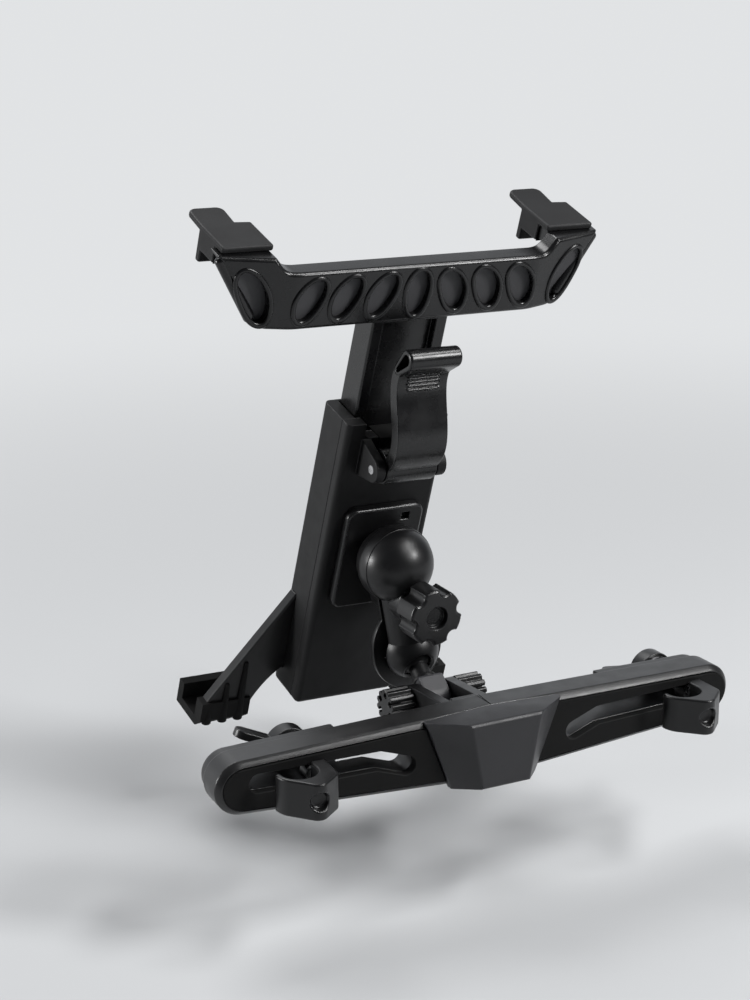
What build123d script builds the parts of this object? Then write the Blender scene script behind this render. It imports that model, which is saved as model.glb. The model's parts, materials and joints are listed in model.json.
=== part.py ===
from build123d import *
import os
from math import asin, cos, degrees, radians, sqrt, tan

# Headrest tablet mount. A bar with two hooks is clamped to the posts of a car headrest, and a
# ball arm on a tilt hinge behind it carries a holder with sprung jaws above and feet below.
# Millimetres. X runs along the bar, Y points back to the holder, Z is up along the posts.
# The origin lies midway between the two post axes, at mid height of the bar.

# Headrest posts
post_spacing = 150.0
post_diameter = 12.0
post_clearance = 0.2

# Fits
seat_clearance = 0.15
running_clearance = 0.05
moving_gap = 0.4

# Bar body: two tapered wings that sweep back a little from the middle
bar_overhang = 26.0
bar_root_height = 27.0
bar_tip_height = 19.2
bar_depth = 13.0
bar_sweep = 3.0
bar_front_radius = 2.2
bar_rear_radius = 1.4
bulge_start = 53.0
bulge_inset = 1.2
bulge_depth = 6.5
bulge_radius = 3.0

# Rubber pads of the wings and the bent slots through them
pad_thickness = 3.0
pad_margin = 2.4
pad_stand = 0.5
pad_edge_radius = 0.4
pad_end_gap = 0.4
slot_width = 6.8
slot_height = 1.5
slot_end_play = 2.4
slot_knee = 43.0
slot_bend_run = 10.0
slot_bend_drop = 3.4

# Bulged cover in the middle of the bar
cover_top_half = 26.8
cover_bottom_half = 16.6
cover_face_top_half = 13.5
cover_face_bottom_half = 9.0
cover_bulge = 9.0
cover_seat_depth = 2.6
cover_top_drop = 1.2
cover_bottom_rise = 1.6
cover_wall = 2.2
cover_edge_radius = 1.6
cover_screw_x = 15.0
cover_screw_z = 2.0
cover_screw_radius = 1.5
cover_screw_head_radius = 3.0
cover_screw_head_height = 2.4
cover_boss_radius = 3.2

# Hooks, hook bolts and wing nuts
hook_height = 13.0
hook_drop = 1.5
hook_tip_wall = 2.0
hook_front_wall = 6.8
hook_nose_x = 2.6
hook_nose_radius = 3.6
hook_root_width = 5.4
hook_root_land = 2.0
hook_corner_radius = 3.0
hook_corner_y = -5.0
hook_tip_reach = 0.8
hook_edge_radius = 0.8
hook_core_radius = 3.1
hook_core_depth = 3.4
hook_tongue_length = 8.0
hook_tongue_depth = 6.0
hook_bolt_radius = 2.0
hook_bolt_head_radius = 2.3
hook_bolt_head_height = 2.4
hook_bolt_cover = 2.8
hook_bolt_end = 4.0
washer_radius = 6.4
washer_thickness = 1.2
wing_nut_hub_radius = 7.4
wing_nut_hub_height = 6.0
wing_nut_span = 40.0
wing_nut_rise = 7.0
wing_nut_blade = 2.8
wing_nut_blade_root = 2.0
left_wing_nut_turn = -23.0
right_wing_nut_turn = -6.0

# Tilt hinge behind the bar
hinge_y = 46.5
hinge_z = 0.8
ear_gap = 10.4
ear_thickness = 4.0
ear_end_radius = 6.0
ear_root_height = 19.0
ear_root_depth = 2.0
ear_web_depth = 9.0
tilt_block_radius = 5.8
tilt_block_top = 6.6
tilt_block_edge_radius = 1.2
tilt_bolt_radius = 2.0
tilt_knob_radius = 6.2
tilt_knob_width = 9.4
tilt_knob_groove_size = 1.5
tilt_knob_grooves = 12
tilt_knob_pockets = 6
tilt_knob_pocket_radius = 1.1
tilt_knob_pocket_depth = 4.0

# Balls and the two clamping halves of the arm
ball_radius = 8.5
neck_radius = 3.4
stud_lean = 53.7
stud_length = 21.3
stud_flange_radius = 4.6
stud_flange_thickness = 1.6
stud_shank_radius = 2.4
stud_shank_length = 3.8
ball_spacing = 34.6
socket_wall = 5.2
lower_dome_wall = 1.8
arm_flange_half_width = 14.2
arm_flange_half_height = 16.6
arm_flange_rise = 1.0
arm_flange_thickness = 2.0
socket_mouth_angle = 50.0
arm_split_gap = 2.0
arm_back_lean = -1.9
arm_side_lean = -10.9
arm_yaw = 3.0
arm_waist_radius = 8.6
arm_boss_radius = 7.4
arm_boss_reach = 9.6
arm_nose_reach = 10.8
arm_bolt_height = 21.5
arm_bolt_radius = 3.0
arm_bolt_head_flats = 10.0
arm_bolt_head_height = 4.0
star_knob_radius = 10.4
star_knob_notches = 6
star_knob_notch_radius = 2.6
star_knob_notch_reach = 0.8
star_knob_thickness = 10.6
star_knob_neck_radius = 4.3
star_knob_neck_length = 3.0
star_knob_recess_radius = 4.2
star_knob_recess_depth = 2.4
star_knob_edge_chamfer = 0.8

# Placing of the holder on the upper ball
holder_pitch = 15.5
holder_roll = 2.6
holder_yaw = 2.4

# Ball plate on the housing
plate_standoff = 11.4
plate_thickness = 3.4
plate_width = 31.0
plate_height = 41.0
plate_centre_z = -4.3
plate_corner_radius = 4.0
plate_edge_chamfer = 0.7
swivel_flange_radius = 9.0
swivel_flange_thickness = 1.7
plate_latch_size = 3.0
plate_latch_x = 8.0
plate_latch_z = 11.8
plate_screw_x = 11.6
plate_screw_z = 16.6
plate_screw_radius = 1.5
plate_screw_head_radius = 2.9
plate_screw_head_height = 1.8
plate_screw_length = 4.6

# Slide housing
housing_width = 41.0
housing_top = 49.7
housing_bottom = -68.5
housing_depth = 18.7
housing_front_depth = 4.6
housing_edge_radius = 2.2
housing_chamber_end = -27.0
housing_front_wall = 2.4
housing_notch_width = 26.0
housing_notch_depth = 5.6
housing_notch_radius = 2.4
housing_screw_x = 11.0
housing_screw_z = -63.5
housing_screw_radius = 1.5
housing_screw_head_radius = 3.0
housing_screw_head_height = 2.4

# Upper bracket: stem, bowed crossbar with oval recesses, jaw shelves
stem_width = 30.0
stem_depth = 11.4
stem_back_wall = 1.6
stem_end = 4.7
stem_channel_width = 21.0
stem_channel_depth = 3.0
stem_rail_radius = 0.8
crossbar_bottom = 88.9
crossbar_height = 18.8
crossbar_rise = 1.0
crossbar_depth = 7.4
crossbar_lower_inset = 16.0
crossbar_upper_inset = 23.5
crossbar_shoulder_half = 74.5
crossbar_shoulder_rise = 4.9
crossbar_bow_run = 27.5
crossbar_end_slant = 13.0
crossbar_bend_radius = 20.0
crossbar_bottom_radius = 6.5
crossbar_inner_radius = 5.0
crossbar_edge_radius = 1.6
oval_pitch = 13.8
oval_per_side = 3
oval_long = 7.4
oval_short = 4.5
oval_lean = 33.0
oval_depth = 2.4
end_oval_inset = 13.0
end_oval_z = 99.4
end_oval_long = 9.4
end_oval_short = 4.6
end_oval_lean = 30.0

# Gripped panel: its thickness and the height between jaws and feet
panel_thickness = 8.8
panel_gap = 0.4
grip_top = 106.1
grip_bottom = -79.0

# Jaw caps of rubber
jaw_end_inset = 11.1
jaw_width = 16.6
jaw_shelf_thickness = 5.4
jaw_shelf_reach = 1.6
jaw_front = 27.8
jaw_cap_wall = 1.2
jaw_cap_top = 2.4
jaw_lip_thickness = 2.6
jaw_lip_drop = 4.0
jaw_tab_length = 10.6
jaw_tab_rise = 0.8
jaw_tab_thickness = 2.2
jaw_tab_width = 13.2
jaw_tab_radius = 3.0

# Lower bracket and its rubber boots
leg_depth = 5.4
leg_hub_top = -28.5
leg_hub_bottom = -60.5
leg_tip_outer = 51.0
leg_tip_inner = 33.4
leg_tip_shoulder = -73.4
leg_tip_bottom = -78.6
leg_inner_bow = 1.2
leg_edge_radius = 0.8
foot_shelf_thickness = 1.6
foot_lip_thickness = 1.8
foot_lip_height = 5.0
boot_wall = 1.0
boot_teeth = 3
boot_tooth_radius = 2.4
boot_top = -71.5

# Cam lever, its pin and the brake shoe
lever_pivot_y = 5.8
lever_pivot_z = 36.8
lever_width = 20.0
lever_roll_width = 20.6
lever_roll_radius = 3.7
lever_roll_y = 3.4
lever_roll_z = 80.6
lever_roll_hole_radius = 1.9
lever_loop_length = 7.0
lever_loop_hole_radius = 0.8
lever_thickness = 4.6
lever_belly = 5.0
lever_hollow = 4.6
lever_cam_radius = 6.4
lever_cam_throw = 1.6
lever_edge_chamfer = 0.6
lever_ribs = 5
lever_rib_pitch = 1.7
lever_rib_radius = 0.5
lever_rib_length = 12.0
lever_rib_below_roll = 8.4
lug_thickness = 3.6
lug_radius = 4.6
lever_pin_radius = 1.6
shoe_width = 14.0
shoe_height = 14.0

post_radius = post_diameter / 2
hook_bore = post_radius + post_clearance
post_x = post_spacing / 2
pad_face = hook_bore + pad_stand
pad_plane = pad_face / cos(radians(bar_sweep)) - post_x * tan(radians(bar_sweep))
bolt_offset = hook_bore + hook_root_width - hook_bolt_cover
bar_length = post_spacing + 2 * bar_overhang
slot_outer = post_x + bolt_offset + slot_end_play
hook_back = hook_bore - moving_gap
bolt_seat = hook_back - hook_bolt_head_height / 2
socket_radius = ball_radius + socket_wall
ball_seat = ball_radius + running_clearance

hinge = Pos(0, hinge_y, hinge_z)
stud_frame = hinge * Rot(-stud_lean, 0, 0)
lower_ball = stud_frame * Pos(0, 0, stud_length)
arm_turn = Rot(-arm_back_lean, 0, 0) * Rot(0, arm_side_lean, 0) * Rot(0, 0, arm_yaw)
arm_frame = Pos(*lower_ball.position) * arm_turn
upper_ball = arm_frame * Pos(0, 0, ball_spacing)
holder_turn = Rot(0, 0, holder_yaw) * Rot(0, holder_roll, 0) * Rot(holder_pitch, 0, 0)
holder_frame = Pos(*upper_ball.position) * holder_turn

# Planes of the holder, measured back from the upper ball
plate_face = plate_standoff
housing_face = plate_standoff + plate_thickness
housing_back = housing_face + housing_depth
housing_split = housing_face + housing_front_depth
stem_back = housing_back - stem_back_wall
stem_face = stem_back - stem_depth
crossbar_face = stem_face - crossbar_rise
crossbar_lower_half = crossbar_shoulder_half - crossbar_lower_inset
crossbar_upper_half = crossbar_shoulder_half - crossbar_upper_inset
crossbar_straight_half = crossbar_shoulder_half - crossbar_bow_run
end_oval_x = crossbar_shoulder_half - end_oval_inset
jaw_centre_x = crossbar_shoulder_half - jaw_end_inset
crossbar_back = crossbar_face + crossbar_depth
crossbar_top = crossbar_bottom + crossbar_height
shelf_top = crossbar_top + crossbar_shoulder_rise
end_bow = crossbar_bow_run * tan(radians(crossbar_end_slant))
end_back = crossbar_face + end_bow + crossbar_depth / cos(radians(crossbar_end_slant))
grip_back = housing_back
grip_front = grip_back + panel_gap + panel_thickness + panel_gap
leg_face = grip_back - leg_depth
leg_back = grip_back - leg_depth / 4
foot_top = grip_bottom - panel_gap - boot_wall
foot_bottom = foot_top - foot_shelf_thickness

LOW = (Align.CENTER, Align.CENTER, Align.MIN)


def rod(radius, length, at, axis):
    """Cylinder that starts at a point and runs along +X, +Y or +Z."""
    turns = {"x": Rot(0, 90, 0), "y": Rot(-90, 0, 0), "z": Rot(0, 0, 0)}
    return Pos(*at) * turns[axis] * Cylinder(radius, length, align=LOW)


def block(x0, x1, y0, y1, z0, z1):
    """Box between two corners."""
    centre = Pos((x0 + x1) / 2, (y0 + y1) / 2, (z0 + z1) / 2)
    return centre * Box(x1 - x0, y1 - y0, z1 - z0)


def front_plate(outline, y0, y1):
    """Outline drawn in X and Z, thick from y0 to y1."""
    return Pos(0, y1, 0) * extrude(Plane.XZ * outline, y1 - y0, dir=(0, -1, 0))


def side_plate(outline, x0, x1):
    """Outline drawn in Y and Z, thick from x0 to x1."""
    return Pos(x0, 0, 0) * extrude(Plane.YZ * outline, x1 - x0, dir=(1, 0, 0))


def slot_between(start, end, width):
    """Round-ended slot outline from one centre to another."""
    run = Vector(*end) - Vector(*start)
    middle = (Vector(*start) + Vector(*end)) * 0.5
    turn = degrees(asin(run.Y / run.length))
    return Pos(middle.X, middle.Y) * SlotCenterToCenter(run.length, width, rotation=turn)


def mirrored(solid):
    return mirror(solid, about=Plane.YZ)


def single(shape):
    """The one solid of a boolean result."""
    return shape.solids().sort_by(SortBy.VOLUME)[-1]


# Bar

def on_right_wing(solid):
    """From the straight frame of a wing to its swept place."""
    return Pos(0, pad_plane, 0) * Rot(0, 0, bar_sweep) * solid


def wing_outline(inset):
    """Tapered wing with a round end, drawn from the middle of the bar."""
    tip = bar_tip_height / 2 - inset
    root = bar_root_height / 2 - inset
    reach = bar_length / 2 - bar_tip_height / 2
    return make_face([
        Line((0, root), (reach, tip)),
        ThreePointArc((reach, tip), (reach + tip, 0), (reach, -tip)),
        Line((reach, -tip), (0, -root)),
        Line((0, -root), (0, root)),
    ])


def slot_outline():
    """Straight slot whose inner end bends down."""
    outer = (slot_outer, slot_height)
    knee = (slot_knee, slot_height)
    inner = (slot_knee - slot_bend_run, slot_height - slot_bend_drop)
    return slot_between(knee, outer, slot_width) + slot_between(inner, knee, slot_width)


def slot_cutter():
    return front_plate(slot_outline(), -bar_depth, 2 * (bar_depth + bulge_depth))


def cover_outline(grow, top_z, bottom_z):
    """Trapezium of the middle cover, with its sloping sides kept in line."""
    half = bar_root_height / 2
    slope = (cover_top_half - cover_bottom_half) / bar_root_height
    top = cover_top_half + grow + slope * (top_z - half)
    bottom = cover_bottom_half + grow + slope * (bottom_z + half)
    return Polygon((-top, top_z), (top, top_z), (bottom, bottom_z), (-bottom, bottom_z), align=None)


def cover_seat(gap, depth):
    """Room that the cover takes from the bar or its pads."""
    outline = cover_outline(gap, bar_root_height, -bar_root_height)
    return front_plate(outline, pad_plane - 2 * cover_bulge, pad_plane + depth)


def bar_wing():
    wing = front_plate(wing_outline(0), 0, bar_depth)
    front = wing.faces().sort_by(Axis.Y)[0].edges().filter_by(lambda e: e.center().X > 1)
    wing = fillet(front, bar_front_radius)
    rear = wing.faces().sort_by(Axis.Y)[-1].edges().filter_by(lambda e: e.center().X > 1)
    wing = fillet(rear, bar_rear_radius)
    bulge_back = bar_depth + bulge_depth
    bulge = front_plate(wing_outline(bulge_inset), bar_depth / 2, bulge_back)
    bulge &= block(bulge_start, bar_length, 0, 2 * bulge_back, -bar_root_height, bar_root_height)
    bulge = fillet(bulge.faces().sort_by(Axis.Y)[-1].edges(), bulge_radius)
    pocket = front_plate(wing_outline(pad_margin - seat_clearance), -bar_depth, pad_thickness)
    return on_right_wing(wing + bulge - pocket - slot_cutter())


def yoke():
    """Two ears behind the bar that carry the tilt bolt, with a web between them."""
    root_y = pad_plane + bar_depth
    end = Pos(hinge_y, hinge_z) * Circle(ear_end_radius)
    root = Pos(root_y, 0) * Rectangle(ear_root_depth, ear_root_height)
    outline = make_hull(end.edges() + root.edges())
    inner = ear_gap / 2
    ear = side_plate(outline, inner, inner + ear_thickness)
    half = ear_root_height / 2
    web = block(-inner, inner, root_y - 1, root_y + ear_web_depth, -half, half)
    bore = tilt_bolt_radius + running_clearance
    bolt_hole = rod(bore, 4 * ear_gap, (-2 * ear_gap, hinge_y, hinge_z), "x")
    return ear + mirrored(ear) + web - bolt_hole


def cover_screw_places():
    return [(side * cover_screw_x, cover_screw_z) for side in (-1, 1)]


def bar_body():
    wing = bar_wing()
    body = wing + mirrored(wing) + yoke() - cover_seat(seat_clearance, cover_seat_depth)
    sunk = pad_plane + bar_depth - cover_screw_head_height
    for x, z in cover_screw_places():
        body -= rod(cover_screw_radius + seat_clearance, 2 * bar_depth, (x, pad_plane, z), "y")
        body -= rod(cover_screw_head_radius + seat_clearance, bar_depth, (x, sunk, z), "y")
    return single(body)


def cover_form(inset):
    """Straight collar and the lofted bulge in front of it."""
    half = bar_root_height / 2
    face_y = pad_plane - cover_bulge + inset
    face_top = half - cover_top_drop - inset
    face_bottom = -half + cover_bottom_rise + inset
    top_half = cover_face_top_half - inset
    bottom_half = cover_face_bottom_half - inset
    base = cover_outline(-inset, half - inset, -half + inset)
    face = Polygon(
        (-top_half, face_top), (top_half, face_top),
        (bottom_half, face_bottom), (-bottom_half, face_bottom), align=None)
    bulge = loft([Pos(0, pad_plane, 0) * (Plane.XZ * base), Pos(0, face_y, 0) * (Plane.XZ * face)])
    return bulge + front_plate(base, pad_plane, pad_plane + cover_seat_depth)


def bar_roof():
    """Everything below the sloping top line of the bar."""
    reach = bar_length / 2 - bar_tip_height / 2
    tip = bar_tip_height / 2
    low = -2 * bar_root_height
    outline = Polygon(
        (-reach, low), (reach, low), (reach, tip), (0, bar_root_height / 2), (-reach, tip), align=None)
    return front_plate(outline, pad_plane - 2 * cover_bulge, pad_plane + bar_depth)


def bar_front_cover():
    form = cover_form(0)
    outside = fillet(form.faces().sort_by(Axis.Y)[0].edges(), cover_edge_radius) & bar_roof()
    shell = outside - cover_form(cover_wall)
    back = pad_plane + cover_seat_depth
    depth = cover_bulge + cover_seat_depth
    for x, z in cover_screw_places():
        boss = rod(cover_boss_radius, depth, (x, back - depth, z), "y")
        hole = rod(cover_screw_radius, cover_bulge, (x, back - cover_bulge / 2, z), "y")
        shell = shell + (boss & outside) - hole
    return single(shell)


def cover_screws():
    """Two pan-head screws from behind the bar into the cover's bosses."""
    head_y = pad_plane + bar_depth - cover_screw_head_height
    tip_y = pad_plane + cover_seat_depth - cover_bulge / 2
    screws = []
    for x, z in cover_screw_places():
        shank = rod(cover_screw_radius, head_y - tip_y, (x, tip_y, z), "y")
        head = rod(cover_screw_head_radius, cover_screw_head_height, (x, head_y, z), "y")
        screws.append(shank + head)
    return screws


def right_wing_pad():
    pad = front_plate(wing_outline(pad_margin), -pad_stand, pad_thickness)
    front = pad.faces().sort_by(Axis.Y)[0].edges().filter_by(lambda e: e.center().X > 1)
    pad = fillet(front, pad_edge_radius)
    return single(on_right_wing(pad - slot_cutter()) - cover_seat(pad_end_gap, bar_depth))


# Hooks, drawn around the post axis with the bar behind it

def hook_frame(side):
    """Post axis of a hook at slot height, turned with its wing."""
    return Pos(side * post_x, 0, slot_height) * Rot(0, 0, side * bar_sweep)


def bar_rear():
    """Rear face of a bulge, measured from the post axis."""
    return pad_face + bar_depth + bulge_depth


def hook(side):
    """Hook with a thin tip, a thick nose in front of the post and a root on the bolt."""
    root_x = hook_bore + hook_root_width
    nose_y = -(hook_bore + hook_front_wall)
    around = Circle(hook_bore + hook_tip_wall)
    nose = Pos(hook_nose_x, nose_y + hook_nose_radius) * Circle(hook_nose_radius)
    corner = Pos(root_x - hook_corner_radius, hook_corner_y) * Circle(hook_corner_radius)
    land = hook_root_land
    root = Pos(root_x - land / 2, hook_back - land / 2) * Rectangle(land, land)
    outline = make_hull(around.edges() + nose.edges() + corner.edges() + root.edges())
    wide = 4 * root_x
    outline -= Circle(hook_bore)
    outline -= Pos(hook_bore / 2, wide / 2) * Rectangle(hook_bore, wide)
    outline -= Pos(-wide / 2, hook_tip_reach + wide / 2) * Rectangle(wide, wide)
    outline -= Pos(0, hook_back + wide / 2) * Rectangle(wide, wide)
    form = Pos(0, 0, -hook_drop - hook_height / 2) * extrude(outline, hook_height)
    form = fillet(form.faces().filter_by(Axis.Z).edges(), hook_edge_radius)
    tongue = Pos(bolt_offset, 0) * SlotOverall(hook_tongue_length, slot_width - moving_gap)
    form += front_plate(tongue, hook_back - 1, hook_back + hook_tongue_depth)
    form -= rod(hook_core_radius, hook_core_depth, (hook_nose_x, nose_y, -hook_drop), "y")
    return single(hook_frame(side) * (form - bolt_form(running_clearance)))


def bolt_form(grow):
    """Bolt whose round head is moulded into the hook's root."""
    end = bar_rear() + moving_gap + washer_thickness + wing_nut_hub_height + hook_bolt_end
    shank = rod(hook_bolt_radius + grow, end - bolt_seat, (bolt_offset, bolt_seat, 0), "y")
    head_y = bolt_seat - hook_bolt_head_height - grow
    height = hook_bolt_head_height + 2 * grow
    return shank + rod(hook_bolt_head_radius + grow, height, (bolt_offset, head_y, 0), "y")


def hook_bolt(side):
    return hook_frame(side) * bolt_form(0)


def washer(side):
    start = bar_rear() + moving_gap / 2
    ring = rod(washer_radius, washer_thickness, (bolt_offset, start, 0), "y")
    bore = hook_bolt_radius + running_clearance
    hole = rod(bore, 3 * washer_thickness, (bolt_offset, start - washer_thickness, 0), "y")
    return hook_frame(side) * (ring - hole)


def wing_nut(side, turn):
    """Hub with two blades that rise outward."""
    start = bar_rear() + moving_gap + washer_thickness
    hub = rod(wing_nut_hub_radius, wing_nut_hub_height, (0, 0, 0), "y")
    tip_radius = wing_nut_rise / 2
    middle = wing_nut_hub_height / 2
    inner = Pos(0, middle) * Rectangle(wing_nut_blade_root, wing_nut_hub_height)
    tip = Pos(wing_nut_span / 2 - tip_radius, middle + tip_radius / 2) * Circle(tip_radius)
    blade_outline = make_hull(inner.edges() + tip.edges())
    blade = Pos(0, 0, -wing_nut_blade / 2) * extrude(blade_outline, wing_nut_blade)
    nut = hub + blade + mirrored(blade)
    bore = hook_bolt_radius + running_clearance
    nut -= rod(bore, 3 * wing_nut_hub_height, (0, -wing_nut_hub_height, 0), "y")
    return single(hook_frame(side) * Pos(bolt_offset, start, 0) * Rot(0, -turn, 0) * nut)


# Tilt hinge

def tilt_block():
    """Barrel between the ears with a flat top for the ball stud."""
    half = ear_gap / 2 - moving_gap
    barrel = Circle(tilt_block_radius)
    top = Pos(0, tilt_block_top - 1) * Rectangle(2 * tilt_block_radius, 2)
    form = side_plate(make_hull(barrel.edges() + top.edges()), -half, half)
    form = fillet(form.faces().sort_by(Axis.Z)[-1].edges(), tilt_block_edge_radius)
    form -= rod(tilt_bolt_radius + running_clearance, 4 * half, (-2 * half, 0, 0), "x")
    shank_start = tilt_block_top - stud_shank_length - seat_clearance
    form -= rod(stud_shank_radius + running_clearance, 2 * tilt_block_top, (0, 0, shank_start), "z")
    return single(stud_frame * form)


def tilt_bolt():
    end = ear_gap / 2 + ear_thickness + moving_gap + tilt_knob_width - tilt_knob_pocket_depth
    return rod(tilt_bolt_radius, 2 * end, (-end, hinge_y, hinge_z), "x")


def right_tilt_knob():
    """Ribbed knob with cored pockets in its outer end."""
    inner = ear_gap / 2 + ear_thickness + moving_gap
    bolt_end = inner + tilt_knob_width - tilt_knob_pocket_depth
    outline = Circle(tilt_knob_radius)
    groove = Pos(tilt_knob_radius, 0) * Rectangle(tilt_knob_groove_size, tilt_knob_groove_size, rotation=45)
    for i in range(tilt_knob_grooves):
        outline -= Rot(0, 0, 360 * i / tilt_knob_grooves) * groove
    knob = side_plate(outline, inner, inner + tilt_knob_width)
    pocket_z = (tilt_bolt_radius + tilt_knob_radius) / 2
    pocket = rod(tilt_knob_pocket_radius, tilt_knob_width, (bolt_end, 0, pocket_z), "x")
    for i in range(tilt_knob_pockets):
        knob -= Rot(360 * i / tilt_knob_pockets, 0, 0) * pocket
    knob -= rod(tilt_bolt_radius + running_clearance, bolt_end + seat_clearance, (0, 0, 0), "x")
    return single(hinge * knob)


# Ball arm

def ball_on_flange(foot, flange_radius, flange_thickness):
    """Ball at the origin on a waisted neck, turned in one piece with a round flange below it."""
    ball_foot = -sqrt(ball_radius ** 2 - neck_radius ** 2)
    flange_top = foot + flange_thickness
    section = make_face([
        ThreePointArc((0, ball_radius), (ball_radius, 0), (neck_radius, ball_foot)),
        Line((neck_radius, ball_foot), (neck_radius, flange_top)),
        Line((neck_radius, flange_top), (flange_radius, flange_top)),
        Line((flange_radius, flange_top), (flange_radius, foot)),
        Line((flange_radius, foot), (0, foot)),
        Line((0, foot), (0, ball_radius)),
    ])
    return revolve(Plane.XZ * section, Axis.Z)


def lower_ball_stud():
    """Ball stud whose shank sits in the tilt block."""
    foot = tilt_block_top + running_clearance - stud_length
    stud = ball_on_flange(foot, stud_flange_radius, stud_flange_thickness)
    stud += rod(stud_shank_radius, stud_shank_length, (0, 0, foot - stud_shank_length), "z")
    return stud_frame * Pos(0, 0, stud_length) * stud


def upper_ball_stud():
    """Ball whose flange turns in the pocket behind the ball plate."""
    foot = -(plate_standoff + plate_thickness - moving_gap / 2)
    stud = ball_on_flange(foot, swivel_flange_radius, swivel_flange_thickness)
    return holder_frame * Rot(90, 0, 0) * stud


def arm_mouths():
    """Cones in which the necks of the two balls can swing."""
    reach = 2 * socket_radius
    cone = Cone(0, reach * tan(radians(socket_mouth_angle)), reach, align=LOW)
    lower = stud_frame * Pos(0, 0, stud_length) * Rot(180, 0, 0) * cone
    upper = holder_frame * Rot(-90, 0, 0) * cone
    return lower + upper


def arm_half(near):
    """One clamping half: two cups, a waist and a boss for the bolt; the far half has a wide flange."""
    middle = arm_bolt_height
    side = -1 if near else 1
    lower = ball_radius + (lower_dome_wall if near else socket_wall)
    boss = arm_nose_reach if near else arm_boss_reach
    form = Sphere(lower) + Pos(0, 0, ball_spacing) * Sphere(socket_radius)
    form += rod(arm_waist_radius, ball_spacing, (0, 0, 0), "z")
    form += rod(arm_boss_radius, boss, (0, min(0, side * boss), middle), "y")
    reach = 2 * socket_radius + ball_spacing
    face = side * arm_split_gap / 2
    form &= block(-reach, reach, min(face, side * reach), max(face, side * reach), -reach, reach)
    if not near:
        flange = Pos(0, arm_flange_rise) * Ellipse(arm_flange_half_width, arm_flange_half_height)
        form += front_plate(flange, face, face + arm_flange_thickness)
    form -= Sphere(ball_seat)
    form -= Pos(0, 0, ball_spacing) * Sphere(ball_seat)
    form -= rod(arm_bolt_radius + seat_clearance, 2 * reach, (0, -reach, middle), "y")
    if not near:
        flats = arm_bolt_head_flats / 2 + seat_clearance
        head = Pos(0, middle) * RegularPolygon(flats, 6, major_radius=False)
        form -= front_plate(head, arm_boss_reach - arm_bolt_head_height, reach)
    return single(arm_frame * form - arm_mouths())


def arm_bolt():
    """Hex bolt held in the far half, with its end in the star knob."""
    middle = arm_bolt_height
    head_y = arm_boss_reach - arm_bolt_head_height
    knob_face = arm_nose_reach + moving_gap + star_knob_neck_length + star_knob_thickness
    end = star_knob_recess_depth - knob_face
    shank = rod(arm_bolt_radius, head_y - end, (0, end, middle), "y")
    head = Pos(0, middle) * RegularPolygon(arm_bolt_head_flats / 2, 6, major_radius=False)
    return arm_frame * (shank + front_plate(head, head_y, arm_boss_reach))


def star_knob():
    """Barrel knob with six blunt teeth and a dished face."""
    head_y = -(arm_nose_reach + moving_gap + star_knob_neck_length)
    face_y = head_y - star_knob_thickness
    outline = Circle(star_knob_radius)
    notch = Pos(star_knob_radius + star_knob_notch_reach, 0) * Circle(star_knob_notch_radius)
    for i in range(star_knob_notches):
        outline -= Rot(0, 0, 360 * i / star_knob_notches) * notch
    head = front_plate(outline, face_y, head_y)
    head = chamfer(head.faces().sort_by(Axis.Y)[0].edges(), star_knob_edge_chamfer)
    knob = head + rod(star_knob_neck_radius, star_knob_neck_length, (0, head_y, 0), "y")
    knob -= rod(star_knob_recess_radius, star_knob_recess_depth, (0, face_y, 0), "y")
    knob -= rod(arm_bolt_radius + running_clearance, 4 * star_knob_thickness, (0, face_y, 0), "y")
    return single(arm_frame * Pos(0, 0, arm_bolt_height) * knob)


# Holder, drawn upright with the upper ball at its origin

def plate_screw_places():
    sides = (-1, 1)
    return [(sx * plate_screw_x, plate_centre_z + sz * plate_screw_z) for sx in sides for sz in sides]


def plate_screw_shanks(radius):
    """Shanks of the plate screws, from the front shell's hollow into the plate."""
    inside = housing_face + housing_front_wall
    start = inside - plate_screw_length
    return [rod(radius, plate_screw_length, (x, start, z), "y") for x, z in plate_screw_places()]


def ball_plate():
    outline = Pos(0, plate_centre_z) * RectangleRounded(plate_width, plate_height, plate_corner_radius)
    plate = front_plate(outline, plate_face, housing_face)
    plate = chamfer(plate.faces().sort_by(Axis.Y)[0].edges(), plate_edge_chamfer)
    pocket_depth = swivel_flange_thickness + moving_gap
    pocket_y = housing_face - pocket_depth
    plate -= rod(neck_radius + moving_gap, 2 * housing_face, (0, 0, 0), "y")
    plate -= rod(swivel_flange_radius + moving_gap, 2 * pocket_depth, (0, pocket_y, 0), "y")
    latch = Pos(plate_latch_x, plate_latch_z) * Rectangle(plate_latch_size, plate_latch_size)
    plate -= front_plate(latch, plate_face - 1, housing_face - plate_thickness / 3)
    for shank in plate_screw_shanks(plate_screw_radius):
        plate -= shank
    return single(holder_frame * plate)


def plate_screws():
    """Pan-head screws that hold the ball plate from inside the housing."""
    inside = housing_face + housing_front_wall
    screws = []
    for shank, (x, z) in zip(plate_screw_shanks(plate_screw_radius), plate_screw_places()):
        head = rod(plate_screw_head_radius, plate_screw_head_height, (x, inside, z), "y")
        screws.append(holder_frame * (shank + head))
    return screws


def housing_box():
    half = housing_width / 2
    box = block(-half, half, housing_face, housing_back, housing_bottom, housing_top)
    edges = box.edges().filter_by(Axis.Z) + box.faces().sort_by(Axis.Z)[0].edges()
    return fillet(edges, housing_edge_radius)


def shoe_room():
    half_w = shoe_width / 2 + moving_gap
    low = lever_pivot_z - shoe_height / 2 - moving_gap
    high = lever_pivot_z + shoe_height / 2 + moving_gap
    return block(-half_w, half_w, housing_face - 1, stem_face, low, high)


def stem_room():
    half = stem_width / 2 + moving_gap / 2
    return block(
        -half, half, stem_face - moving_gap / 2, stem_back + moving_gap / 2,
        housing_chamber_end, 2 * housing_top)


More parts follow.
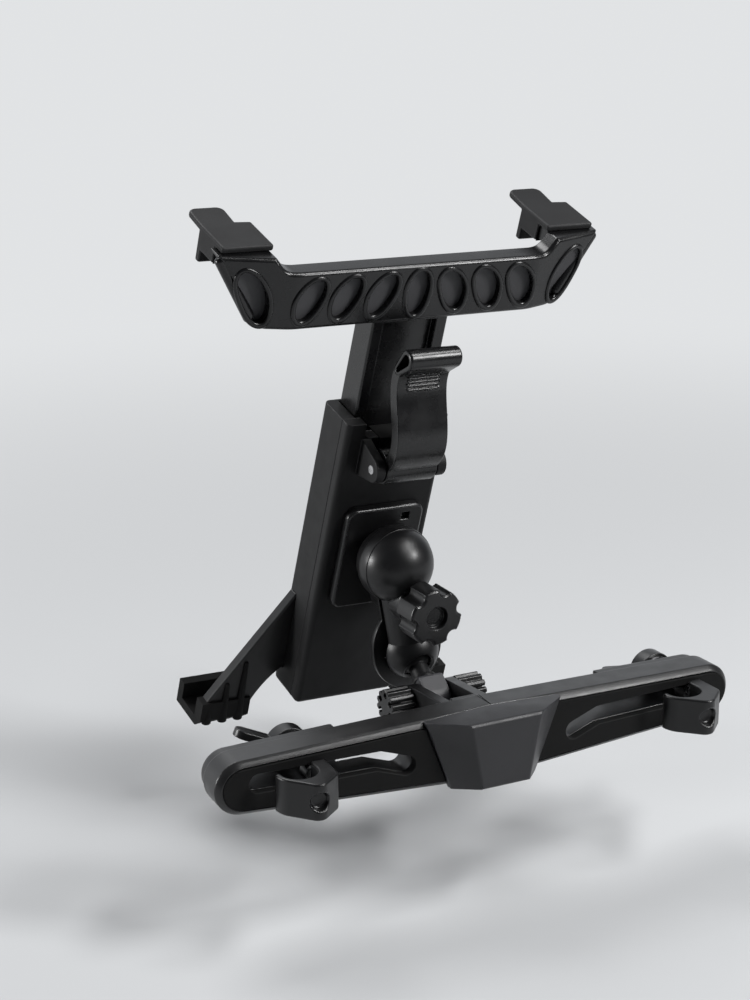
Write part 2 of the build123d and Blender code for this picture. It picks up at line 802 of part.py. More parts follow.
def lever_notch():
    """Notch in the upper edge of the front wall, through which the stem shows behind the lever."""
    outline = RectangleRounded(housing_notch_width, 2 * housing_notch_depth, housing_notch_radius)
    return front_plate(Pos(0, housing_top) * outline, housing_face - housing_front_wall, stem_face)


def bracket_room():
    wide = housing_width
    return block(
        -wide, wide, leg_face - seat_clearance, leg_back,
        leg_hub_bottom - seat_clearance, leg_hub_top + seat_clearance)


def lug_outline():
    pivot = Pos(lever_pivot_y, lever_pivot_z) * Circle(lug_radius)
    foot = Pos(housing_face, lever_pivot_z) * Rectangle(1, 3 * lug_radius)
    return make_hull(pivot.edges() + foot.edges())


def housing_screw_places():
    return [(side * housing_screw_x, housing_screw_z) for side in (-1, 1)]


def housing_front():
    """Front shell with the lever's lugs, the shoe's window and seats for the plate screws."""
    wide = housing_width
    shell = housing_box()
    shell &= block(-wide, wide, housing_face - 1, housing_split, 2 * housing_bottom, 2 * housing_top)
    hollow_half = stem_width / 2
    shell -= block(
        -hollow_half, hollow_half, housing_face + housing_front_wall, housing_split + 1,
        housing_chamber_end, lever_pivot_z - shoe_height)
    lug_inner = lever_width / 2 + moving_gap
    lug = side_plate(lug_outline(), lug_inner, lug_inner + lug_thickness)
    shell += lug + mirrored(lug)
    shell = shell - shoe_room() - lever_notch()
    pin_bore = lever_pin_radius + running_clearance
    shell -= rod(pin_bore, 2 * wide, (-wide, lever_pivot_y, lever_pivot_z), "x")
    for shank in plate_screw_shanks(plate_screw_radius + seat_clearance):
        shell -= shank
    for x, z in housing_screw_places():
        shell -= rod(housing_screw_radius, housing_depth, (x, housing_face + housing_front_wall, z), "y")
    return single(holder_frame * shell)


def housing_rear():
    """Rear shell with the stem's chamber and the seat of the lower bracket."""
    wide = housing_width
    shell = housing_box()
    shell &= block(-wide, wide, housing_split, housing_back + 1, 2 * housing_bottom, 2 * housing_top)
    shell = shell - stem_room() - shoe_room() - lever_notch() - bracket_room()
    sunk = housing_back - housing_screw_head_height
    for x, z in housing_screw_places():
        shell -= rod(housing_screw_radius + seat_clearance, housing_depth, (x, housing_split, z), "y")
        shell -= rod(housing_screw_head_radius + seat_clearance, housing_depth, (x, sunk, z), "y")
    return single(holder_frame * shell)


def housing_screws():
    head_y = housing_back - housing_screw_head_height
    tip_y = housing_face + housing_front_wall
    head_height = housing_screw_head_height - seat_clearance
    screws = []
    for x, z in housing_screw_places():
        shank = rod(housing_screw_radius, head_y - tip_y, (x, tip_y, z), "y")
        head = rod(housing_screw_head_radius, head_height, (x, head_y, z), "y")
        screws.append(holder_frame * (shank + head))
    return screws


def crossbar_outline():
    """Straight bar whose ends sweep up and outward to the jaws."""
    jaw_inner = jaw_centre_x - jaw_width / 2
    right = [
        (crossbar_lower_half, crossbar_bottom),
        (crossbar_shoulder_half, shelf_top),
        (jaw_inner, shelf_top),
        (crossbar_upper_half, crossbar_top),
    ]
    left = [(-x, z) for x, z in reversed(right)]
    outline = Polygon(*right, *left, align=None)
    low = outline.vertices().filter_by(lambda v: abs(v.Y - crossbar_bottom) < 0.01)
    outline = fillet(low, crossbar_bottom_radius)
    inner = outline.vertices().filter_by(lambda v: abs(v.Y - crossbar_top) < 0.01)
    return fillet(inner, crossbar_inner_radius)


def end_front_room():
    """Room in front of the right end, where the crossbar bows back to the jaw."""
    reach = 2 * crossbar_shoulder_half
    room = block(0, reach, -reach, 0, -reach, reach)
    return Pos(crossbar_straight_half, crossbar_face, 0) * Rot(0, 0, crossbar_end_slant) * room


def rear_room():
    """Room behind the right half of the crossbar, which follows the same bow."""
    reach = 2 * crossbar_shoulder_half
    middle = block(-1, crossbar_straight_half, crossbar_back, reach, -reach, reach)
    end = block(0, reach, 0, reach, -reach, reach)
    return middle + Pos(crossbar_straight_half, crossbar_back, 0) * Rot(0, 0, crossbar_end_slant) * end


def oval(x, z, long, short, lean):
    """Elliptical recess cutter; a positive lean tips its top toward +X."""
    past_bend = max(0, abs(x) - crossbar_straight_half)
    floor = crossbar_face + past_bend * tan(radians(crossbar_end_slant)) + oval_depth
    outline = Pos(x, z) * Ellipse(short, long, rotation=-lean)
    return front_plate(outline, crossbar_face - oval_depth, floor)


def oval_recesses():
    middle_z = crossbar_bottom + crossbar_height / 2
    cutters = [oval(0, middle_z, oval_long, oval_short, 0)]
    for side in (-1, 1):
        for i in range(1, oval_per_side + 1):
            x = side * i * oval_pitch
            cutters.append(oval(x, middle_z, oval_long, oval_short, -side * oval_lean))
        end_lean = side * end_oval_lean
        cutters.append(oval(side * end_oval_x, end_oval_z, end_oval_long, end_oval_short, end_lean))
    return cutters


def jaw_shelf():
    half = jaw_width / 2
    return block(
        jaw_centre_x - half, jaw_centre_x + half, crossbar_back, grip_front - jaw_shelf_reach,
        shelf_top - jaw_shelf_thickness, shelf_top)


def upper_bracket():
    half = stem_width / 2
    stem = block(-half, half, stem_face, stem_back, stem_end, crossbar_bottom + crossbar_height / 2)
    stem = fillet(stem.edges().filter_by(Axis.Z), stem_rail_radius)
    channel_half = stem_channel_width / 2
    stem -= block(
        -channel_half, channel_half, stem_face - 1, stem_face + stem_channel_depth,
        stem_end - 1, crossbar_bottom - stem_channel_depth)
    bar = front_plate(crossbar_outline(), crossbar_face, end_back)
    bar = bar - end_front_room() - mirrored(end_front_room())
    bends = bar.edges().filter_by(Axis.Z).filter_by(lambda e: abs(e.center().Y - crossbar_face) < 0.01)
    bar = fillet(bends, crossbar_bend_radius)
    front = bar.faces().filter_by(lambda f: f.normal_at().Y < -0.9)
    rim = front.edges().filter_by(lambda e: len([f for f in front if e in f.edges()]) == 1)
    bar = fillet(rim, crossbar_edge_radius)
    bar = bar - rear_room() - mirrored(rear_room())
    shelf = jaw_shelf()
    bracket = bar + stem + shelf + mirrored(shelf)
    for cutter in oval_recesses():
        bracket -= cutter
    return single(holder_frame * bracket)


def jaw_cap(centre_x):
    """Rubber cap over a jaw shelf: a soft top, a lip before the panel and a finger tab."""
    front = grip_front + jaw_lip_thickness
    top = shelf_top + jaw_cap_top
    under = grip_top + panel_gap
    body = Polygon(
        (jaw_front, shelf_top), (jaw_front, top), (front, top), (front, grip_top - jaw_lip_drop),
        (grip_front, grip_top - jaw_lip_drop), (grip_front, under), (end_back + seat_clearance, under),
        (end_back + seat_clearance, shelf_top), align=None)
    half = jaw_width / 2 + jaw_cap_wall
    cap = side_plate(body, -half, half)
    tip_y = front + jaw_tab_length
    tip_top = top + jaw_tab_rise
    tab = Polygon(
        (front - 1, top - jaw_tab_thickness), (tip_y, tip_top - jaw_tab_thickness),
        (tip_y, tip_top), (front, top), (front - 1, top), align=None)
    tab = side_plate(tab, -half, jaw_tab_width - half)
    tip = tab.edges().filter_by(Axis.Z).filter_by(lambda e: e.center().Y > front + 1)
    cap = Pos(centre_x, 0, 0) * (cap + fillet(tip, jaw_tab_radius))
    shelf = jaw_shelf()
    return single(holder_frame * (cap - shelf - mirrored(shelf)))


def leg_outline():
    """Hub inside the housing and two diagonal legs with bowed inner edges."""
    hub = housing_width / 2
    inner = (leg_tip_inner, leg_tip_bottom)
    bow = ((leg_tip_inner + hub) / 2 + leg_inner_bow, (leg_tip_bottom + leg_hub_bottom) / 2 + leg_inner_bow)
    half = make_face([
        Line((0, leg_hub_top), (hub, leg_hub_top)),
        Line((hub, leg_hub_top), (leg_tip_outer, leg_tip_shoulder)),
        Line((leg_tip_outer, leg_tip_shoulder), (leg_tip_outer, leg_tip_bottom)),
        Line((leg_tip_outer, leg_tip_bottom), inner),
        ThreePointArc(inner, bow, (hub, leg_hub_bottom)),
        Line((hub, leg_hub_bottom), (0, leg_hub_bottom)),
        Line((0, leg_hub_bottom), (0, leg_hub_top)),
    ])
    return half + mirror(half, about=Plane.YZ)


def foot_core():
    """Bent foot of a leg: a slope, a shelf under the panel and a short lip before it."""
    lip_y = grip_front + boot_wall
    front = lip_y + foot_lip_thickness
    drop = leg_tip_bottom - foot_bottom
    outline = Polygon(
        (leg_face, leg_tip_bottom), (leg_face + drop, foot_bottom), (front, foot_bottom),
        (front, grip_bottom + foot_lip_height), (lip_y, grip_bottom + foot_lip_height), (lip_y, foot_top),
        (leg_back, foot_top), (leg_back, leg_tip_bottom + 1), (leg_face, leg_tip_bottom + 1), align=None)
    return side_plate(outline, leg_tip_inner, leg_tip_outer)


def lower_bracket():
    plate = front_plate(leg_outline(), leg_face, leg_back)
    edges = plate.faces().sort_by(Axis.Y)[0].edges().filter_by(lambda e: e.center().Z < leg_hub_top - 1)
    sloped = edges.filter_by(lambda e: abs(e.center().X) > housing_width / 2)
    plate = fillet(sloped.filter_by(lambda e: e.center().Z > leg_tip_shoulder), leg_edge_radius)
    core = foot_core()
    return single(holder_frame * (plate + core + mirrored(core)))


def right_foot_boot():
    """Rubber boot around a foot, with a toothed lower edge."""
    x0 = leg_tip_inner - boot_wall
    x1 = leg_tip_outer + boot_wall
    low = foot_bottom - boot_wall
    back = leg_face - boot_wall
    front = grip_front + 2 * boot_wall + foot_lip_thickness
    lip_top = grip_bottom + foot_lip_height + boot_wall
    floor = grip_bottom - panel_gap
    drop = leg_tip_bottom - foot_bottom
    outline = Polygon(
        (back, boot_top), (back, leg_tip_bottom - boot_wall / 2), (leg_face + drop - boot_wall / 2, low),
        (front, low), (front, lip_top), (grip_front, lip_top), (grip_front, floor),
        (leg_back, floor), (leg_back, boot_top), align=None)
    boot = side_plate(outline, x0, x1)
    pitch = (x1 - x0) / boot_teeth
    for i in range(boot_teeth):
        boot -= rod(boot_tooth_radius, 2 * front, (x0 + pitch * (i + 0.5), 0, low - boot_wall), "y")
    return single(holder_frame * (boot - foot_core() - front_plate(leg_outline(), leg_face, leg_back)))


def lever_path():
    """S-shaped side view of the lever, from its pin to its roll."""
    run = lever_roll_z - lever_pivot_z
    return Spline(
        (lever_pivot_y, lever_pivot_z),
        (lever_pivot_y - lever_belly, lever_pivot_z + run * 0.3),
        (lever_roll_y + lever_hollow, lever_pivot_z + run * 0.72),
        (lever_roll_y, lever_roll_z))


def lever_grip_ribs():
    """Finger ribs across the lever, just below its roll."""
    path = lever_path()
    ribs = []
    for i in range(lever_ribs):
        at = 1 - (lever_rib_below_roll + i * lever_rib_pitch) / path.length
        point = path.position_at(at)
        run = path.tangent_at(at)
        y = point.X - run.Y * lever_thickness / 2
        z = point.Y + run.X * lever_thickness / 2
        ribs.append(rod(lever_rib_radius, lever_rib_length, (-lever_rib_length / 2, y, z), "x"))
    return ribs


def lever_loop(roll_radius, foot_radius):
    """Drop-shaped side view of the rolled finger end."""
    path = lever_path()
    foot = path.position_at(1 - lever_loop_length / path.length)
    roll = Pos(lever_roll_y, lever_roll_z) * Circle(roll_radius)
    return make_hull(roll.edges() + (Pos(foot.X, foot.Y) * Circle(foot_radius)).edges())


def cam_lever():
    """S-shaped lever with a cam at its foot and a rolled, ribbed finger end."""
    half = lever_width / 2
    roll_half = lever_roll_width / 2
    form = side_plate(trace(lever_path(), lever_thickness), -half, half)
    for rib in lever_grip_ribs():
        form += rib
    cam = Pos(lever_pivot_y + lever_cam_throw, lever_pivot_z) * Circle(lever_cam_radius)
    form += side_plate(cam, -half, half)
    wide = lever_roll_width
    loop = side_plate(lever_loop(lever_roll_radius, lever_thickness / 2), -roll_half, roll_half)
    form += chamfer(loop.faces().filter_by(Axis.X).edges(), lever_edge_chamfer)
    form -= side_plate(lever_loop(lever_roll_hole_radius, lever_loop_hole_radius), -wide, wide)
    form -= rod(lever_pin_radius + running_clearance, 2 * wide, (-wide, lever_pivot_y, lever_pivot_z), "x")
    return single(holder_frame * form)


def lever_pin():
    reach = lever_width / 2 + moving_gap + lug_thickness
    return holder_frame * rod(lever_pin_radius, 2 * reach, (-reach, lever_pivot_y, lever_pivot_z), "x")


def brake_shoe():
    """Shoe between the cam and the floor of the stem's channel."""
    half_w = shoe_width / 2
    half_h = shoe_height / 2
    cam_back = lever_pivot_y + lever_cam_throw + lever_cam_radius + moving_gap
    floor = stem_face + stem_channel_depth - moving_gap
    return holder_frame * block(
        -half_w, half_w, cam_back, floor, lever_pivot_z - half_h, lever_pivot_z + half_h)


def write(name, *solids):
    """One file for each piece; like fasteners share one as separate solids."""
    shape = solids[0] if len(solids) == 1 else Compound(children=list(solids))
    export_step(shape, "parts/" + name + ".step")


def main():
    os.makedirs("parts", exist_ok=True)
    write("bar_body", bar_body())
    write("bar_front_cover", bar_front_cover())
    write("cover_screws", *cover_screws())
    pad = right_wing_pad()
    write("right_wing_pad", pad)
    write("left_wing_pad", mirrored(pad))
    for name, side, turn in (("left", -1, left_wing_nut_turn), ("right", 1, right_wing_nut_turn)):
        write(name + "_hook", hook(side))
        write(name + "_hook_bolt", hook_bolt(side))
        write(name + "_washer", washer(side))
        write(name + "_wing_nut", wing_nut(side, turn))
        write(name + "_jaw_cap", jaw_cap(side * jaw_centre_x))
    write("tilt_block", tilt_block())
    write("tilt_bolt", tilt_bolt())
    knob = right_tilt_knob()
    write("right_tilt_knob", knob)
    write("left_tilt_knob", mirrored(knob))
    write("lower_ball_stud", lower_ball_stud())
    write("arm_near_half", arm_half(True))
    write("arm_far_half", arm_half(False))
    write("arm_bolt", arm_bolt())
    write("star_knob", star_knob())
    write("upper_ball_stud", upper_ball_stud())
    write("ball_plate", ball_plate())
    write("plate_screws", *plate_screws())
    write("housing_front", housing_front())
    write("housing_rear", housing_rear())
    write("housing_screws", *housing_screws())
    write("upper_bracket", upper_bracket())
    write("lower_bracket", lower_bracket())
    # The boots are mirrored about the holder's own middle plane.
    boot = right_foot_boot()
    write("right_foot_boot", boot)
    write("left_foot_boot", holder_frame * mirrored(holder_frame.inverse() * boot))
    write("cam_lever", cam_lever())
    write("lever_pin", lever_pin())
    write("brake_shoe", brake_shoe())


main()
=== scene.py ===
"""Dresses the headrest tablet mount: finishes, fine details, studio stage and camera."""
import json
import math
from typing import NamedTuple

import bmesh
import bpy
from mathutils import Matrix, Vector
from mathutils.bvhtree import BVHTree

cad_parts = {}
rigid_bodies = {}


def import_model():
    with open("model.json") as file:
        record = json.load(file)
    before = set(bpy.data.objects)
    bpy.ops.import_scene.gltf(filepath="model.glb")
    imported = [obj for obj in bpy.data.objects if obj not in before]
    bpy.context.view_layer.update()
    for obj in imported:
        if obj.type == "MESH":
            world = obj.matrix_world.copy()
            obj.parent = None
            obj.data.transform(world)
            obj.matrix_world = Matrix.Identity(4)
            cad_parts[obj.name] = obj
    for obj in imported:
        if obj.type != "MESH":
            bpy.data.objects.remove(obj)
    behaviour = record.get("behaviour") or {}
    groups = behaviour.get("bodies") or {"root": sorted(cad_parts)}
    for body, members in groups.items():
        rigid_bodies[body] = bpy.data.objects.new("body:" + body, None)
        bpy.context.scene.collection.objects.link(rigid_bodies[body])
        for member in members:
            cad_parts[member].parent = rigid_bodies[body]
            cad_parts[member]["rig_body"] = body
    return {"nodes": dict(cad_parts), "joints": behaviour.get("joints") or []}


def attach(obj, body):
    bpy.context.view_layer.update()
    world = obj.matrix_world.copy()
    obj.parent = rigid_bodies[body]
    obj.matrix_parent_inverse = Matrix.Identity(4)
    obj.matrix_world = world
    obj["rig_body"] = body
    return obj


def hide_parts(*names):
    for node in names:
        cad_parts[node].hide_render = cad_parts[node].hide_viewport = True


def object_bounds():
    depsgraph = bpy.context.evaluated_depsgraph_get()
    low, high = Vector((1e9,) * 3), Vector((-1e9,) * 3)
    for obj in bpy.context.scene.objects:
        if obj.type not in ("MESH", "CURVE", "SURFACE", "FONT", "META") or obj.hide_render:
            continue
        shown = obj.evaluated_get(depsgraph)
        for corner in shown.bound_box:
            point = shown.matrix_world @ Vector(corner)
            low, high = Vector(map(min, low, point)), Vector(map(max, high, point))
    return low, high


bl_info = {
    "name": "Headrest Tablet Mount",
    "version": (1, 0, 0),
    "blender": (4, 5, 0),
    "location": "3D View > Sidebar > Mount",
    "description": "Finishes and details of a tablet mount for car headrest posts",
    "category": "Object",
}

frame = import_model()
CAD_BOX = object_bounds()
NODES = frame["nodes"]
JOINTS = {joint["name"]: joint for joint in frame["joints"]}
MM = 0.001


def joint_turn(across, along):
    """Turn to the axes of two joints that stand square to each other."""
    x, y = (Vector(JOINTS[name]["axis"]) for name in (across, along))
    return Matrix((x, y, x.cross(y))).transposed()


# Frames of the tilted pieces: each ball's centre, and its arm's or holder's own axes
LOWER_BALL = Vector(JOINTS["lower_ball_turn"]["pos_m"])
UPPER_BALL = Vector(JOINTS["upper_ball_tilt"]["pos_m"])
STUD_AXIS = -Vector(JOINTS["lower_ball_turn"]["axis"])
ARM_TURN = joint_turn("lower_ball_tilt", "arm_knob_turn")
HOLDER_TURN = joint_turn("upper_ball_tilt", "holder_turn")

# Wings of the bar, in millimetres and degrees: each is swept back and tapers to a round end
BAR_LENGTH = 202.0
BAR_ROOT = 27.0 / 2
BAR_TIP = 19.2 / 2
BAR_REACH = BAR_LENGTH / 2 - BAR_TIP
BAR_FRONT = 2.7786
BAR_SWEEP = 3.0
BAR_ROUND = 2.2
BAR_ROUND_SLACK = 0.08
BAR_EDGE_SLACK = 0.1

# Jaw bar, in the holder's own millimetres and degrees: its ends bend back
JAW_BAR_MIDDLE = 98.3
JAW_BAR_BOTTOM = 88.8
JAW_BAR_FACE = 19.5
JAW_BAR_BEND = 47.0
JAW_BAR_SLANT = 13.0
END_BEAD_LOW = Vector((60.3, 24.6, 91.2))
END_BEAD_HIGH = Vector((74.0, 27.9, 111.6))
END_BEAD_CAP = 1.5

# Oval dishes of the jaw bar, in millimetres and degrees
OVAL_PITCH = 13.8
OVAL_HALVES = (4.5, 7.4)
OVAL_LEAN = 33.0
OVAL_FLOOR_SINK = 2.3
END_OVAL_PLACE = (61.5, 99.4)
END_OVAL_HALVES = (4.6, 9.4)
END_OVAL_LEAN = 30.0
END_FLOOR_SINK = 2.35
OVAL_FLOOR_GAP = 0.05
OVAL_FLOOR_WALL = 0.4

# Ribs of the foot boots, in the holder's own millimetres, from the outer rib inwards;
# taper and flatness are shares of a rib's radius
RIB_OUTER = 49.0
RIB_PITCH = 6.4
RIB_TOPS = (-72.5, -64.0, -55.5)
RIB_FOOT = -80.9
RIB_BACK = 27.9
RIB_CAP = 0.55
RIB_TAPER = 0.45
RIB_FLATNESS = 0.8

# Sphere over the seam of the upper socket, and the near half's edge at the split, in millimetres
LAP_RADIUS = 13.85
LAP_SPAN = (-3.0, 2.6)
LAP_WALL = 0.5
SPLIT_EDGE = -0.9

# Meshing
WELD = 1e-6
FLAT = math.radians(0.5)
LIP_FOLD = math.radians(50.0)
OVERSHOOT = 0.75
DOME_SIDES = 64
LAP_SIDES = 72
LAP_RINGS = 48
OVAL_SIDES = 56
UPRIGHT = Matrix.Rotation(math.radians(90.0), 3, "X")


class MountFinishes(bpy.types.PropertyGroup):
    """Colours and gloss of the mount's plastics, rubbers and metal."""

    black_plastic: bpy.props.FloatVectorProperty(
        name="Black plastic", description="Colour of the moulded frame pieces",
        subtype="COLOR", size=3, min=0.0, max=1.0, default=(0.006, 0.006, 0.0064))
    gloss_plastic: bpy.props.FloatVectorProperty(
        name="Gloss plastic", description="Colour of the shinier mouldings",
        subtype="COLOR", size=3, min=0.0, max=1.0, default=(0.005, 0.005, 0.0054))
    cover_plastic: bpy.props.FloatVectorProperty(
        name="Cover plastic", description="Colour of the bulged bar cover",
        subtype="COLOR", size=3, min=0.0, max=1.0, default=(0.02, 0.02, 0.022))
    pad_rubber: bpy.props.FloatVectorProperty(
        name="Pad rubber", description="Colour of the bar's rubber pads",
        subtype="COLOR", size=3, min=0.0, max=1.0, default=(0.005, 0.005, 0.005))
    cap_rubber: bpy.props.FloatVectorProperty(
        name="Cap rubber", description="Colour of the jaw caps and foot boots",
        subtype="COLOR", size=3, min=0.0, max=1.0, default=(0.012, 0.012, 0.0125))
    zinc: bpy.props.FloatVectorProperty(
        name="Zinc plate", description="Colour of the bolts, pins and washers",
        subtype="COLOR", size=3, min=0.0, max=1.0, default=(0.55, 0.55, 0.56))
    black_roughness: bpy.props.FloatProperty(
        name="Black roughness", description="Roughness of the black plastic",
        subtype="FACTOR", min=0.0, max=1.0, default=0.34)
    gloss_roughness: bpy.props.FloatProperty(
        name="Gloss roughness", description="Roughness of the shinier mouldings",
        subtype="FACTOR", min=0.0, max=1.0, default=0.27)
    cover_roughness: bpy.props.FloatProperty(
        name="Cover roughness", description="Roughness of the bar cover",
        subtype="FACTOR", min=0.0, max=1.0, default=0.42)
    rubber_roughness: bpy.props.FloatProperty(
        name="Rubber roughness", description="Roughness of pads, caps and boots",
        subtype="FACTOR", min=0.0, max=1.0, default=0.62)


class MountEdges(bpy.types.PropertyGroup):
    """Radii of the mouldings' softened edges."""

    moulding: bpy.props.FloatProperty(
        name="Moulding edge", description="Edge radius of the large mouldings",
        unit="LENGTH", min=0.00005, max=0.002, default=0.00035)
    fine: bpy.props.FloatProperty(
        name="Fine edge", description="Edge radius of knobs, teeth and thin webs",
        unit="LENGTH", min=0.00005, max=0.002, default=0.0002)
    rubber: bpy.props.FloatProperty(
        name="Rubber edge", description="Edge radius of the rubber jaw caps",
        unit="LENGTH", min=0.00005, max=0.002, default=0.0008)
    hook: bpy.props.FloatProperty(
        name="Hook edge", description="Edge radius of the post hooks",
        unit="LENGTH", min=0.00005, max=0.002, default=0.001)
    crease: bpy.props.FloatProperty(
        name="Crease angle", description="Edges that fold more than this are softened",
        subtype="ANGLE", min=0.1, max=1.5, default=math.radians(32.0))


class MountDetails(bpy.types.PropertyGroup):
    """Sizes of the small moulded details."""

    bar_fullness: bpy.props.FloatProperty(
        name="Jaw bar fullness", description="How far the jaw bar's lower edge is drawn down",
        unit="LENGTH", min=0.0, max=0.004, default=0.0024)
    bevel_flatness: bpy.props.FloatProperty(
        name="Bevel flatness",
        description="How far the bar's round front edge is drawn towards a flat bevel",
        subtype="FACTOR", min=0.0, max=1.0, default=0.7)
    rim_bead: bpy.props.FloatProperty(
        name="Rim bead", description="Radius of the bead round each oval dish",
        unit="LENGTH", min=0.0001, max=0.002, default=0.00085)
    dome_radius: bpy.props.FloatProperty(
        name="Dome radius", description="Outer radius of the dome over the lower ball",
        unit="LENGTH", min=0.009, max=0.012, default=0.01045)
    dome_wall: bpy.props.FloatProperty(
        name="Dome wall", description="Thickness of the dome over the lower ball",
        unit="LENGTH", min=0.0005, max=0.003, default=0.0015)
    mouth_across: bpy.props.FloatProperty(
        name="Mouth across", description="Half angle of the dome's mouth across the arm",
        subtype="ANGLE", min=0.3, max=1.0, default=math.radians(28.0))
    mouth_along: bpy.props.FloatProperty(
        name="Mouth along", description="Half angle of the dome's mouth along the arm",
        subtype="ANGLE", min=0.3, max=1.0, default=math.radians(39.0))
    end_bead: bpy.props.FloatProperty(
        name="End bead", description="Radius of the rounded edges of the jaw bar's ends",
        unit="LENGTH", min=0.0005, max=0.003, default=0.0019)
    boot_rib: bpy.props.FloatProperty(
        name="Boot rib", description="Radius of the foot boots' ribs at their lower ends",
        unit="LENGTH", min=0.0005, max=0.004, default=0.0019)


class MountStage(bpy.types.PropertyGroup):
    """Camera, floor and studio light."""

    camera_place: bpy.props.FloatVectorProperty(
        name="Camera place", description="Camera position in the mount's frame",
        subtype="TRANSLATION", unit="LENGTH", size=3, default=(-0.3971, -0.6739, 0.3417))
    camera_aim: bpy.props.FloatVectorProperty(
        name="Camera aim", description="Direction in which the camera looks",
        subtype="DIRECTION", size=3, default=(0.4384, 0.844, -0.309))
    lens: bpy.props.FloatProperty(
        name="Lens", description="Focal length in millimetres", min=10.0, max=300.0, default=90.0)
    floor_drop: bpy.props.FloatProperty(
        name="Floor drop", description="Distance of the floor below the mount",
        unit="LENGTH", min=0.0, default=0.03)
    floor_colour: bpy.props.FloatVectorProperty(
        name="Floor colour", description="Colour of floor and backdrop",
        subtype="COLOR", size=3, min=0.0, max=1.0, default=(0.56, 0.57, 0.58))


def settings(kind):
    """One of the scene's property groups."""
    return getattr(bpy.context.scene, "mount_" + kind)


# Materials

class NodeBuilder:
    """Small helper that adds and links shader nodes."""

    NOISE_RANGE = (0.3, 0.7)

    def __init__(self, name):
        self.material = bpy.data.materials.new(name)
        self.material.use_nodes = True
        self.tree = self.material.node_tree
        self.shader = self.tree.nodes["Principled BSDF"]
        self.place = self.tree.nodes.new("ShaderNodeTexCoord").outputs["Object"]

    def add(self, kind, **inputs):
        node = self.tree.nodes.new(kind)
        for key, value in inputs.items():
            self.feed(node.inputs[key.replace("_", " ")], value)
        return node

    def link(self, source, target):
        self.tree.links.new(source, target)

    def feed(self, socket, value):
        """Links a socket to another node's output, or sets its value."""
        if isinstance(value, bpy.types.NodeSocket):
            self.link(value, socket)
        else:
            socket.default_value = value

    def noise(self, scale, detail):
        node = self.add("ShaderNodeTexNoise", Vector=self.place, Scale=scale, Detail=detail)
        return node.outputs["Fac"]

    def span(self, noise, low, high):
        """Noise spread between two limits."""
        least, most = self.NOISE_RANGE
        node = self.add(
            "ShaderNodeMapRange", Value=noise, From_Min=least, From_Max=most, To_Min=low, To_Max=high)
        return node.outputs["Result"]

    def mix(self, share, under, over):
        """Colour between two, each a fixed tone or another node's output."""
        node = self.tree.nodes.new("ShaderNodeMix")
        node.data_type = "RGBA"
        self.link(share, node.inputs["Factor"])
        for socket, colour in ((node.inputs[6], under), (node.inputs[7], over)):
            fixed = isinstance(colour, tuple)
            self.feed(socket, (*colour, 1.0) if fixed else colour)
        return node.outputs[2]

    def add_attribute(self, name):
        """Value that the mesh carries on its faces."""
        node = self.tree.nodes.new("ShaderNodeAttribute")
        node.attribute_name = name
        return node.outputs["Fac"]

    def lowered(self, value, where, amount):
        """Value less an amount where a mask is set."""
        node = self.tree.nodes.new("ShaderNodeMath")
        node.operation = "MULTIPLY_ADD"
        self.link(where, node.inputs[0])
        node.inputs[1].default_value = -amount
        self.link(value, node.inputs[2])
        return node.outputs["Value"]

    def bump(self, height, distance, under=None):
        """Normal of a relief, which may lie on another one."""
        node = self.add("ShaderNodeBump", Height=height, Distance=distance, Strength=1.0)
        if under is not None:
            self.link(under, node.inputs["Normal"])
        return node.outputs["Normal"]


def scaled(colour, factor):
    """Lighter or darker tone of a colour."""
    return tuple(min(1.0, c * factor) for c in colour)


def moulded_plastic(name, colour, roughness, grain, depth, sheen=0.42):
    """Moulded plastic with eroded grain of a width and depth, uneven gloss and rubbed edges."""
    build = NodeBuilder(name)
    rubbed = build.add_attribute("edge_polish")
    clouds = build.noise(scale=38.0, detail=4.0)
    body = build.mix(clouds, scaled(colour, 0.8), scaled(colour, 1.25))
    build.link(build.mix(rubbed, body, scaled(colour, 1.6)), build.shader.inputs["Base Color"])
    smears = build.noise(scale=160.0, detail=5.0)
    gloss = build.span(smears, roughness - 0.05, roughness + 0.06)
    build.link(build.lowered(gloss, rubbed, amount=0.06), build.shader.inputs["Roughness"])
    sink_marks = build.bump(build.noise(scale=55.0, detail=1.0), distance=0.0001)
    eroded = build.noise(scale=1.0 / grain, detail=2.0)
    build.link(build.bump(eroded, depth, under=sink_marks), build.shader.inputs["Normal"])
    build.shader.inputs["Specular IOR Level"].default_value = sheen
    build.shader.inputs["IOR"].default_value = 1.5
    return build.material


def moulded_rubber(name, colour, roughness, sheen):
    """Matte rubber with fine pores, chalky bloom and edges rubbed a little paler."""
    build = NodeBuilder(name)
    rubbed = build.add_attribute("edge_polish")
    bloom = build.noise(scale=70.0, detail=6.0)
    body = build.mix(bloom, scaled(colour, 0.75), scaled(colour, 1.4))
    build.link(build.mix(rubbed, body, scaled(colour, 1.8)), build.shader.inputs["Base Color"])
    chalk = build.span(bloom, roughness - 0.07, roughness + 0.09)
    build.link(build.lowered(chalk, rubbed, amount=0.08), build.shader.inputs["Roughness"])
    pores = build.noise(scale=2600.0, detail=2.0)
    build.link(build.bump(pores, distance=0.00004), build.shader.inputs["Normal"])
    build.shader.inputs["Specular IOR Level"].default_value = sheen
    build.shader.inputs["IOR"].default_value = 1.5
    return build.material


